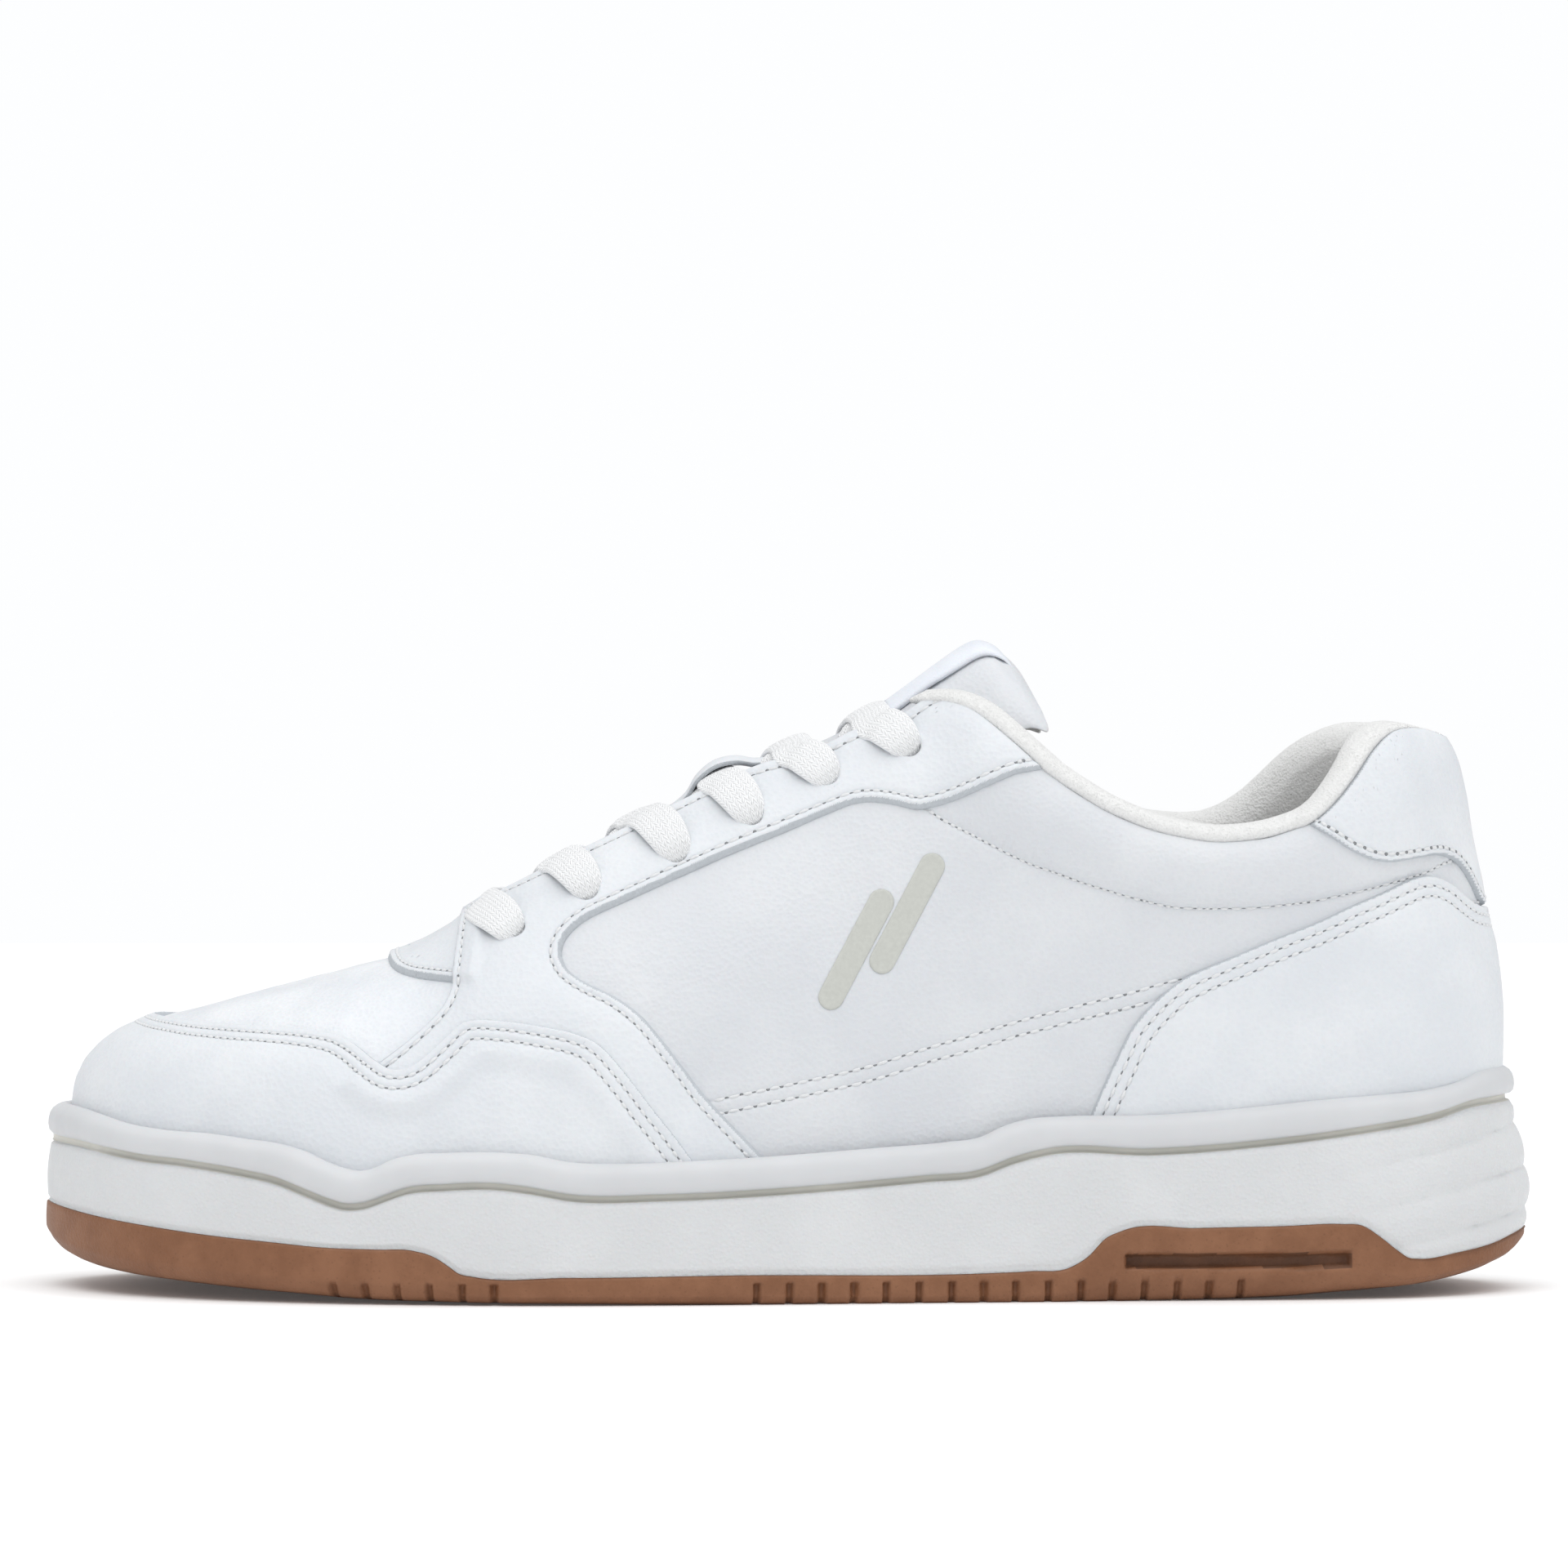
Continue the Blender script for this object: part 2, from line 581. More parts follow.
def leather_material(name, colour, shade, grain=0.9, relief=0.09, wrinkle=0.12):
    """Smooth finished leather: fine pebbled grain, faint creases, slight tone changes."""
    s = Shader(name, colour, 0.42, Specular_IOR_Level=0.42, Coat_Weight=0.05)
    s.principled.inputs["Subsurface Weight"].default_value = 0.04
    s.principled.inputs["Subsurface Scale"].default_value = 0.002
    broad = s.noise(24, 2)
    pebble = s.cells(grain)
    fine_grain = s.noise(0.35, 2)
    tone = s.math("ADD", s.math("MULTIPLY", broad, 0.8), s.math("MULTIPLY", pebble, 0.15))
    s.colour(s.mix(s.step(tone, 0.3, 0.8), shade, colour))
    s.roughness(s.step(s.noise(6, 3), 0.3, 0.7, 0.36, 0.52))
    s.bump(s.noise(7, 3, 0.5, 0.6), wrinkle)
    s.bump(pebble, relief)
    s.bump(fine_grain, 0.02)
    return s.material


def edge_material(name, colour):
    """Raw cut edge of leather: matt, greyer, with fibres."""
    s = Shader(name, colour, 0.85)
    s.colour(s.mix(s.noise(0.6, 4), tuple(c * 0.82 for c in colour), tuple(c * 1.12 for c in colour)))
    s.bump(s.noise(0.3, 4), 0.12)
    return s.material


def textile_material(name, colour, shade):
    """Brushed lining: soft matt pile over a fine knit."""
    s = Shader(name, colour, 0.95, Sheen_Weight=0.5)
    s.principled.inputs["Sheen Roughness"].default_value = 0.4
    s.principled.inputs["Specular IOR Level"].default_value = 0.15
    pile = s.noise(0.28, 4, 0.75)
    loops = s.cells(0.55)
    s.colour(s.mix(s.step(s.math("ADD", s.math("MULTIPLY", pile, 0.7), s.math("MULTIPLY", loops, 0.4)),
                          0.2, 0.75), shade, colour))
    s.bump(loops, 0.22)
    s.bump(pile, 0.3)
    s.bump(s.noise(3.0, 3), 0.25)
    return s.material


def rubber_material(name, colour, shade, stipple=0.0, size=0.7):
    """Moulded white rubber, smooth or with a fine sand-like texture."""
    s = Shader(name, colour, 0.48, Specular_IOR_Level=0.4)
    s.principled.inputs["Subsurface Weight"].default_value = 0.06
    s.principled.inputs["Subsurface Scale"].default_value = 0.002
    s.colour(s.mix(s.step(s.noise(18, 3), 0.35, 0.75), shade, colour))
    s.roughness(s.step(s.noise(4, 3), 0.3, 0.7, 0.42, 0.6))
    s.bump(s.noise(5, 2), 0.05)
    if stipple:
        s.bump(s.cells(size), stipple)
        s.bump(s.noise(size * 0.5, 3, 0.6), stipple * 0.6)
    return s.material


def gum_material(name, colour, dark):
    """Crude natural rubber: amber brown with darker clouds and small specks."""
    s = Shader(name, colour, 0.5, Specular_IOR_Level=0.3)
    clouds = s.step(s.noise(9, 5, 0.65), 0.3, 0.75)
    specks = s.step(s.cells(1.1), 0.10, 0.24, 0, 1)
    tint = s.mix(clouds, dark, colour)
    s.colour(s.mix(s.math("MULTIPLY_ADD", specks, 0.35, 0.65), tuple(c * 0.7 for c in dark), tint))
    s.bump(s.noise(0.8, 4), 0.1)
    s.bump(s.cells(0.6), 0.06)
    return s.material


def plain_material(name, colour, roughness=0.7, size=1.0, relief=0.05):
    """Matt material with a slight mottle."""
    s = Shader(name, colour, roughness)
    s.colour(s.mix(s.noise(size, 3), tuple(c * 0.8 for c in colour), colour))
    s.bump(s.noise(size * 0.6, 3), relief)
    return s.material


def weave_material(name, colour, shade, across=11.0, along=1.1):
    """Flat woven lace: rows of slanted ribs from its own length and width coordinates."""
    s = Shader(name, colour, 0.85, Sheen_Weight=0.3)
    s.principled.inputs["Specular IOR Level"].default_value = 0.2
    split = s.tree.nodes.new("ShaderNodeSeparateXYZ")
    s.set(split, 0, s.uv)
    length, width = split.outputs[0], split.outputs[1]
    column = s.math("ABSOLUTE", s.math("SINE", s.math("MULTIPLY", width, across * math.pi)))
    zigzag = s.math("PINGPONG", s.math("MULTIPLY", width, across), 1.0)
    rib = s.math("SINE", s.math("MULTIPLY", s.math("ADD", s.math("DIVIDE", length, along),
                                                 s.math("MULTIPLY", zigzag, 0.8)), 2 * math.pi))
    rib = s.math("MULTIPLY_ADD", rib, 0.5, 0.5)
    yarn = s.math("MULTIPLY", column, s.math("POWER", rib, 0.6))
    fuzz = s.noise(0.2, 3, 0.7)
    s.colour(s.mix(s.step(s.math("MULTIPLY_ADD", fuzz, 0.3, yarn), 0.05, 0.7), shade, colour))
    s.bump(yarn, 0.28)
    s.bump(fuzz, 0.08)
    return s.material


def thread_material(name, colour):
    """Polyester sewing thread: bright, slightly shiny, twisted."""
    s = Shader(name, colour, 0.5)
    s.colour(s.mix(s.noise(0.25, 2), tuple(c * 0.8 for c in colour), colour))
    s.bump(s.noise(0.15, 2), 0.05)
    return s.material


leather = leather_material("white_leather", (0.68, 0.695, 0.715), (0.615, 0.633, 0.662))
overlay = leather_material("overlay_leather", (0.73, 0.75, 0.772), (0.655, 0.68, 0.712), 1.0, 0.08)
vamp_leather = leather_material("vamp_leather", (0.80, 0.815, 0.83), (0.675, 0.70, 0.735), wrinkle=0.18)
raw_edge = edge_material("raw_edge", (0.50, 0.53, 0.56))
textile = textile_material("brushed_lining", (0.97, 0.97, 0.96), (0.89, 0.89, 0.88))
inner_textile = textile_material("inner_lining", (0.91, 0.905, 0.885), (0.82, 0.815, 0.795))
satin = leather_material("satin_ribbon", (0.80, 0.825, 0.87), (0.70, 0.73, 0.79), 0.4, 0.05, 0.1)
wall_rubber = rubber_material("textured_rubber", (0.65, 0.66, 0.67), (0.617, 0.627, 0.637), 0.12, 0.75)
band_rubber = rubber_material("smooth_rubber", (0.605, 0.615, 0.63), (0.575, 0.585, 0.60))
ledge_rubber = rubber_material("cream_rubber", (0.68, 0.665, 0.61), (0.58, 0.57, 0.52))
gum = gum_material("gum_rubber", (0.258, 0.118, 0.060), (0.200, 0.086, 0.041))
dark_gum = gum_material("dark_gum", (0.15, 0.065, 0.032), (0.10, 0.042, 0.02))
print_grey = plain_material("grey_print", (0.56, 0.57, 0.53), 0.55, 0.8, 0.03)
print_edge = plain_material("grey_print_edge", (0.40, 0.41, 0.38), 0.6, 0.8, 0.03)
lace_weave = weave_material("woven_lace", (0.97, 0.975, 0.98), (0.86, 0.87, 0.885))
thread = thread_material("sewing_thread", (0.78, 0.79, 0.80))
needle_hole = plain_material("needle_hole", (0.27, 0.28, 0.29), 0.9, 0.5, 0.02)
foam = plain_material("foam", (0.75, 0.72, 0.60), 0.9, 1.5, 0.2)
board = plain_material("fibre_board", (0.45, 0.40, 0.33), 0.9, 1.2, 0.1)
tip_plastic = plain_material("lace_tip", (0.80, 0.81, 0.82), 0.3, 2.0, 0.01)

# ------------------------------------------------------------------ making meshes
def make_object(name, points, faces, materials, slots=None, uvs=None):
    """Mesh object from points in mm and a list or array of faces."""
    mesh = bpy.data.meshes.new(name)
    mesh.from_pydata((np.asarray(points, float) * MM).tolist(), [], [list(map(int, f)) for f in faces])
    for material in materials:
        mesh.materials.append(material)
    if slots is not None:
        mesh.polygons.foreach_set("material_index", np.asarray(slots, np.int32))
    if uvs is not None:
        layer = mesh.uv_layers.new(name="UVMap")
        loops = np.empty(len(mesh.loops), np.int32)
        mesh.loops.foreach_get("vertex_index", loops)
        layer.data.foreach_set("uv", np.asarray(uvs, float)[loops].ravel())
    mesh.polygons.foreach_set("use_smooth", np.ones(len(mesh.polygons), bool))
    mesh.update()
    obj = bpy.data.objects.new(name, mesh)
    bpy.context.scene.collection.objects.link(obj)
    return obj


def border_edges(faces):
    """Directed edges that belong to one triangle only."""
    edges = np.r_[faces[:, [0, 1]], faces[:, [1, 2]], faces[:, [2, 0]]].astype(np.int64)
    big = faces.max() + 1
    code = edges[:, 0] * big + edges[:, 1]
    back = edges[:, 1] * big + edges[:, 0]
    return edges[~np.isin(code, back)]


def merge_close(points, faces):
    """Join vertices at the same place and drop collapsed triangles."""
    _, index, group = np.unique(np.round(points, 4), axis=0, return_index=True,
                                return_inverse=True)
    faces = group.ravel()[faces]
    good = (faces[:, 0] != faces[:, 1]) & (faces[:, 1] != faces[:, 2]) & (faces[:, 2] != faces[:, 0])
    return index, faces[good]


def waviness(points, size, seed):
    """Gentle random field, about -1..1, with features of a size in mm."""
    state = np.random.default_rng(seed)
    out = np.zeros(len(points))
    for _ in range(8):
        direction = state.normal(size=3)
        direction /= np.linalg.norm(direction)
        wave = 2 * math.pi / (size * state.uniform(0.7, 1.6))
        out += np.sin(points @ direction * wave + state.uniform(0, 6.28))
    return out / 3.5


def skin(name, patch, height, thickness, materials, band=0.0):
    """Closed sheet over a patch whose outer face stands height mm off the base leather.

    Material 0 covers both faces and material 1 the cut edges, with a band of the face beside them.
    """
    index, faces = merge_close(patch.points, patch.faces)
    points = patch.points[index]
    normals = normals_of(points, faces)
    h = height[index]
    top = points + normals * h[:, None]
    under = points + normals * (h - thickness)[:, None]
    rim = border_edges(faces)
    count = len(points)
    walls = np.r_[np.c_[rim[:, 1], rim[:, 0], rim[:, 0] + count],
                  np.c_[rim[:, 1], rim[:, 0] + count, rim[:, 1] + count]]
    all_faces = np.r_[faces, faces[:, ::-1] + count, walls]
    cut = patch.data["cut"] if "cut" in patch.data else patch.data["edge"]
    beside = cut[index][faces].mean(1) < band
    slots = np.r_[beside, np.zeros(len(faces)), np.ones(len(walls))]
    obj = make_object(name, np.r_[top, under], all_faces, materials, slots)
    return obj, top


def put(obj, body, slot, *nodes):
    """The piece rides on a body, takes a slot and stands for some CAD nodes."""
    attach(obj, body)
    if nodes:
        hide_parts(*nodes)


# ------------------------------------------------------------------ sewing
PITCH = 3.0
THREAD_RADIUS = 0.34


def chains(a, b):
    """Segments joined end to end into polylines."""
    keys = {}

    def key(p):
        return tuple(np.round(p[:3], 2))

    for index, (p, q) in enumerate(zip(a, b)):
        keys.setdefault(key(p), []).append((index, 0))
        keys.setdefault(key(q), []).append((index, 1))
    ends = (a, b)
    used = np.zeros(len(a), bool)
    out = []
    for start in range(len(a)):
        if used[start]:
            continue
        used[start] = True
        line = [a[start], b[start]]
        for forward in (True, False):
            while True:
                tip = line[-1] if forward else line[0]
                options = [(i, e) for i, e in keys.get(key(tip), []) if not used[i]]
                if not options:
                    break
                i, e = options[0]
                used[i] = True
                other = ends[1 - e][i]
                if forward:
                    line.append(other)
                else:
                    line.insert(0, other)
        out.append(np.array(line))
    return out


def resample(line, pitch):
    """Points along a polyline at an even pitch."""
    d = np.r_[0, np.cumsum(np.linalg.norm(np.diff(line, axis=0), axis=1))]
    count = max(int(round(d[-1] / pitch)), 1)
    t = np.linspace(0, d[-1], count + 1)
    return np.stack([np.interp(t, d, line[:, k]) for k in range(line.shape[1])], -1)


def sew(group, patch, key, level, top, keep=None):
    """Lock stitches along the line where a field equals level, lying on the raised surface."""
    index, faces = merge_close(patch.points, patch.faces)
    values = patch.data[key][index] - level
    for line in chains(*zero_segments(faces, values, np.c_[top, normals_of(top, faces)])):
        spots = resample(line, PITCH)
        for one, two in zip(spots[:-1], spots[1:]):
            middle = (one[:3] + two[:3]) / 2
            if keep is None or keep(middle):
                group.append((one[:3], two[:3], (one[3:] + two[3:]) / 2))


def thread_object(name, stitches, slot="overlay_leather"):
    """One mesh with a small bowed thread for every stitch and a dark needle hole at its start."""
    sides, rings = 6, 7
    angle = np.arange(sides) * 2 * math.pi / sides
    points, faces, slots = [], [], []
    base = 0
    for one, two, normal in stitches:
        run = two - one
        length = np.linalg.norm(run)
        if length < 0.8:
            continue
        along = run / length
        normal = normal - along * (normal @ along)
        normal /= np.linalg.norm(normal)
        across = np.cross(along, normal)
        share = np.linspace(0.07, 0.93, rings)
        bow = np.sin(np.linspace(0, math.pi, rings)) ** 0.6
        centre = one + np.outer(share, run) + np.outer(bow * 0.42 - 0.28, normal)
        radius = THREAD_RADIUS * (0.45 + 0.55 * bow)
        ring = (centre[:, None, :] + radius[:, None, None] * 1.15 * np.sin(angle)[None, :, None] * across
                + radius[:, None, None] * 0.85 * np.cos(angle)[None, :, None] * normal)
        points.append(ring.reshape(-1, 3))
        for r in range(rings - 1):
            for s in range(sides):
                a, b = base + r * sides + s, base + r * sides + (s + 1) % sides
                faces.append((a, b, b + sides, a + sides))
        faces.append(tuple(base + s for s in range(sides))[::-1])
        faces.append(tuple(base + (rings - 1) * sides + s for s in range(sides)))
        slots += [0] * ((rings - 1) * sides + 2)
        base += rings * sides
        # The needle hole is a small dark lens at the start of the stitch.
        lens = (one + 0.42 * np.outer(np.cos(angle), along) + 0.42 * np.outer(np.sin(angle), across)
                + 0.05 * normal)
        points.append(np.r_[lens, [one + 0.09 * normal], [one - 0.35 * normal]])
        for s in range(sides):
            faces.append((base + s, base + (s + 1) % sides, base + sides))
            faces.append((base + (s + 1) % sides, base + s, base + sides + 1))
        slots += [1] * (2 * sides)
        base += sides + 2
    obj = make_object(name, np.concatenate(points), faces, [thread, needle_hole], slots)
    put(obj, "shoe", slot)


# ------------------------------------------------------------------ upper panels
OVERLAY = 1.3
ROWS = (2.1, 4.2)
QUARTER_ROWS = (0.0, -2.7)
PANEL_THICKNESS = 1.2
OVERLAY_THICKNESS = 1.25
LINING_THICKNESS = 0.7

toe_border = Border(Line(TOE_SEAM, -1))
stay_rear = Border(Line(STAY_REAR, -1))
stay_front = Border(Line(STAY_FRONT, 1))
tab_front = Border(Line(TAB_FRONT, 1))
heel_border = Border(Line(HEEL_SEAM, -1))
tab_border = Border(Line(TAB_SEAM, 1))
collar_border = Border(Line(COLLAR_SEAM, 1))
quarter_border = Border(Line(QUARTER_SEAM, 1))
quarter_front = Border(Line(VAMP_REAR, 1))
vamp_rear = Border(Line(VAMP_REAR, -1))


def top_line(points):
    """Side-view distance from the collar's edge, which stands higher on the medial side."""
    far = points[:, 1] > smooth(MIDDLE, points[:, 0])
    return np.where(far, medial_top(points), lateral_top(points))


lateral_top = Line(TOPLINE, -1)
medial_top = Line(MEDIAL_TOPLINE, -1)
top_border = Border(top_line)


def row_dip(edge, rows, depth=0.32):
    """Furrow that each row of stitches pulls into the leather."""
    return -sum(depth * np.exp(-((edge - row) / 0.42) ** 2) for row in rows)


def rounded(edge, reach=0.6, drop=0.3):
    """Rounded-over cut edge."""
    return -drop * (1 - (np.clip(edge, 0, reach) / reach)) ** 2


def panel(fields, levels=(0.25, 0.6, 1.6, 2.1, 2.6, 3.7, 4.2, 4.7), fine_band=5.2):
    """Patch of the last where every field is positive, with finer cells near its edge."""
    patch = whole.copy()
    values = np.min([field.rough(patch.points) if isinstance(field, Border) else field(patch.points)
                     for field in fields], axis=0)
    patch.data["rough"] = values
    patch.drop((values[patch.faces] < -3).all(1))
    patch.refine(np.abs(patch.data["rough"][patch.faces].mean(1) - fine_band / 2) < fine_band / 2 + 1)
    for number, field in enumerate(fields):
        patch.data[number] = field(patch.points)
    patch.data["edge"] = np.min([patch.data[n] for n in range(len(fields))], axis=0)
    patch.refine(np.abs(patch.data["edge"][patch.faces].mean(1)) < 0.8)
    patch.data["edge"] = np.min([field(patch.points) for field in fields], axis=0)
    patch.keep("edge")
    for level in levels:
        patch.score("edge", level)
    return patch


def lateral(points):
    """Distance from the middle, positive on the lateral side."""
    return smooth(MIDDLE, points[:, 0]) - points[:, 1]


def medial(points):
    """Distance from the middle, positive on the medial side."""
    return points[:, 1] - smooth(MIDDLE, points[:, 0])


sides = {-1: lateral, 1: medial}


def above_wall(points):
    """Hidden lower margin of the panels: they end just inside the sole's wall."""
    return points[:, 2] - smooth(FEATHER, points[:, 0]) - 1.5



def hole_border(centres, radius):
    """Distance from some round holes of a radius."""
    spots = np.array(centres)

    def outside(points):
        return np.linalg.norm(points[:, None, :] - spots, axis=2).min(1) - radius

    return outside


def on_upper(x, off_middle, side):
    """Vertex of the last nearest to a plan place, on its lateral (-1) or medial (1) half."""
    girth = whole.uv[:, 1]
    half = girth < math.pi / 2 if side < 0 else girth > math.pi / 2
    y = float(smooth(MIDDLE, [x])[0]) + off_middle
    miss = (whole.points[:, 0] - x) ** 2 + (whole.points[:, 1] - y) ** 2
    return np.where(half, miss, 1e9).argmin()


whole_normals = normals_of(whole.points, whole.faces)


EYELETS = {side: [whole.points[on_upper(x, side * half, side)] for x, half in EYELET_ROWS]
           for side in (-1, 1)}
EYELET_RADIUS = 2.1

# Small breathing holes punched in the toe, in rows across the vamp.
VENTS = []
for row, x in enumerate(np.linspace(-106, -86, 5)):
    count = 2 + row % 2
    for y in (np.arange(count) - (count - 1) / 2) * 4.6:
        VENTS.append(whole.points[on_upper(x, y, -1 if y < 0 else 1)])
VENT_RADIUS = 0.75


def collar_puff(points):
    """The padded collar's bulge between its seam and the topline."""
    up, down = collar_border.rough(points), top_border.rough(points)
    share = np.clip(up / np.maximum(up + down, 1e-3), 0, 1)
    width = smoothstep(26, 52, points[:, 0]) * smoothstep(136, 116, points[:, 0])
    return np.where((up > 0) & (down > 0), 2.3 * width * np.sin(math.pi * share) ** 0.7, 0)


def base_height(patch):
    """Slight unevenness of the leather over the last."""
    return 0.16 * waviness(patch.points, 26, 3) + 0.05 * waviness(patch.points, 9, 4)


def punch(patch, holes, key="holes", reach=1.0):
    """Cut real round holes through a patch."""
    for _ in range(2):
        patch.refine(np.abs(holes(patch.points[patch.faces].mean(1))) < reach)
    patch.data[key] = holes(patch.points)
    patch.keep(key)


def make_vamp():
    """The vamp's patch with its breathing holes, and its height with soft creases across the toes."""
    patch = panel([vamp_rear, throat_gap, above_wall], levels=())
    punch(patch, hole_border(VENTS, VENT_RADIUS), "vents", 1.2)
    punch(patch, all_eyelets)
    patch.score("vents", 0.4)
    p = patch.points
    h = base_height(patch)
    crease = np.zeros(len(p))
    state = np.random.default_rng(11)
    for _ in range(7):
        x0 = state.uniform(-92, -72)
        slope = state.uniform(-0.35, 0.35)
        crease += 0.10 * np.exp(-(((p[:, 0] - x0) - slope * np.abs(p[:, 1])) / 2.2) ** 2)
    h = h - crease - 0.15 * np.exp(-(patch.data["vents"] / 0.4) ** 2)
    return patch, h


all_eyelets = hole_border(EYELETS[-1] + EYELETS[1], EYELET_RADIUS)


def make_quarter(side):
    """One quarter's patch and height, with furrows for its rows of stitches and the collar's seam."""
    fields = [quarter_front, sides[side], throat_gap, top_border, above_wall]
    patch = panel(fields, levels=(0.3,), fine_band=1.0)
    for name, field in (("collar", collar_border), ("quarter", quarter_border)):
        patch.data[name] = field(patch.points)
    near = (np.abs(patch.data["collar"][patch.faces].mean(1)) < 1.6)
    near |= (np.abs(patch.data["quarter"][patch.faces].mean(1) + 1.6) < 3.2)
    patch.refine(near)
    for name, field in (("collar", collar_border), ("quarter", quarter_border)):
        patch.data[name] = field(patch.points)
        for level in (-0.5, 0.0, 0.5):
            patch.score(name, level)
    for level in (-3.2, -2.7, -2.2):
        patch.score("quarter", level)
    punch(patch, all_eyelets)
    p = patch.points
    h = base_height(patch) + collar_puff(p)
    h -= 0.38 * np.exp(-(patch.data["collar"] / 0.5) ** 2)
    behind = heel_border.rough(p) < 1
    rows = row_dip(patch.data["quarter"], QUARTER_ROWS, 0.3)
    h += np.where(behind, rows, 0)
    return patch, h


def signed(border, spot):
    """Rough distance of one place from a border."""
    return border.rough(np.array([spot]))[0]


def on_quarter(spot):
    """The quarter's rows of stitches show between the eyestay, the mudguard and the heel overlay."""
    covered = signed(stay_rear, spot) >= 0.3 or signed(toe_border, spot) >= 0.3
    return signed(heel_border, spot) < -0.5 and not covered


def on_collar(spot):
    """The collar's row of stitches shows between the eyestay and the heel tab."""
    return signed(stay_rear, spot) < 0.3 and signed(tab_border, spot) < -0.5 and spot[0] > 28


def before_eyestay(spot):
    """The throat tab's stitches end under the eyestay and the mudguard."""
    return signed(stay_front, spot) < 0.3 and signed(toe_border, spot) < 0.3


def above_mudguard_edge(spot):
    """The eyestay's stitches end under the mudguard."""
    return signed(toe_border, spot) < 0.3


patch, height = make_vamp()
vamp, _ = skin("vamp_shell", patch, height, PANEL_THICKNESS, [vamp_leather, raw_edge])
put(vamp, "shoe", "leather", "vamp")
for side, name in ((-1, "lateral"), (1, "medial")):
    patch, height = make_quarter(side)
    quarter, top = skin(f"quarter_{name}_shell", patch, height, PANEL_THICKNESS, [leather, raw_edge])
    put(quarter, "shoe", "leather", f"quarter_{name}")
    stitches = []
    for row in QUARTER_ROWS:
        sew(stitches, patch, "quarter", row, top, on_quarter)
    sew(stitches, patch, "collar", 0.0, top, on_collar)
    thread_object(f"quarter_{name}_stitching", stitches, slot="leather")


def stitched_overlay(node, fields, rows, seams, extra=None, holes=None, visible=None, band=0.35,
                     cut=None):
    """A leather overlay with cut edges and rows of stitches inside its sewn edges."""
    patch = panel(fields)
    if holes is not None:
        punch(patch, holes)
        patch.score("holes", 0.35)
    sewn = np.min([patch.data[n] for n in seams], axis=0)
    patch.data["sewn"] = sewn
    edge = patch.data["edge"]
    bare = edge if cut is None else np.min([patch.data[n] for n in cut], axis=0)
    patch.data["cut"] = bare
    h = OVERLAY + rounded(edge) - 0.75 * smoothstep(band + 0.12, 0.0, bare) + row_dip(sewn, rows)
    h += 0.22 * smoothstep(rows[-1] + 0.3, rows[-1] + 4.5, sewn)
    h += 0.14 * waviness(patch.points, 22, 5) * smoothstep(1, 6, edge)
    if extra is not None:
        h += extra(patch.points)
    if holes is not None:
        h += rounded(patch.data["holes"], 0.7, 0.35)
    obj, top = skin(f"{node}_shell", patch, h, OVERLAY_THICKNESS, [overlay, raw_edge], band)
    put(obj, "shoe", "overlay_leather", node)
    stitches = []
    for row in rows:
        sew(stitches, patch, "sewn", row, top, visible)
    thread_object(f"{node}_stitching", stitches)


def stay_fields(side):
    """Edges of one eyestay, which ends 0.1 mm under the collar's edge."""
    return [stay_rear, throat_gap, stay_front, sides[side], above_mudguard,
            lambda p: top_border(p) - 0.1]


def above_mudguard(points):
    """The eyestay ends 7 mm under the mudguard's edge."""
    return 7 - toe_border(points)


def over_stay(points):
    """The mudguard steps up where it lies on the eyestay's lower end."""
    inside = np.minimum(stay_rear.rough(points), stay_front.rough(points))
    return 1.05 * smoothstep(-1.6, 1.0, inside) * smoothstep(10, 6, toe_border.rough(points))


def clear_of_wall(spot):
    """Stitches show from 1 mm under the sole's band upward."""
    return spot[2] > float(smooth(BAND_TOP, [spot[0]])[0]) - 1


tab_fields = [tab_front, throat_gap, lambda p: 5 - stay_front(p), lambda p: 6 - toe_border(p)]
stitched_overlay("throat_tab", tab_fields, (2.0,), (0, 1),
                 visible=before_eyestay, band=0.75)
for side, name in ((-1, "lateral"), (1, "medial")):
    stitched_overlay(f"eyestay_{name}", stay_fields(side), (2.1,), (0, 1, 2),
                     extra=lambda p: collar_puff(p) + 0.9 * smoothstep(-1, 1, tab_front.rough(p))
                     * smoothstep(6, 4, stay_front.rough(p)),
                     holes=hole_border(EYELETS[side], EYELET_RADIUS),
                     visible=above_mudguard_edge, band=0.75, cut=(0, 2))
stitched_overlay("mudguard", [toe_border, above_wall], ROWS, (0,), extra=over_stay,
                 visible=clear_of_wall)
stitched_overlay("heel_overlay", [heel_border, above_wall], ROWS, (0,), visible=clear_of_wall)
stitched_overlay("heel_tab", [tab_border, top_border], (1.4,), (0,), extra=collar_puff)

# ------------------------------------------------------------------ lining, collar and rim
# The lining's outer face lies this far inside the base leather's.
LINING_DEPTH = 1.35


def make_front_lining():
    """Thin lining under the vamp and the front of the quarters."""
    patch = panel([lambda p: throat_gap(p) - 0.6, top_border, above_wall, lambda p: 36 - p[:, 0]],
                  levels=(), fine_band=0.5)
    punch(patch, all_eyelets)
    height = np.full(len(patch.points), -LINING_DEPTH)
    lining, _ = skin("front_lining", patch, height, LINING_THICKNESS, [inner_textile, inner_textile])
    put(lining, "shoe", "textile", "vamp_lining", "quarter_lining")


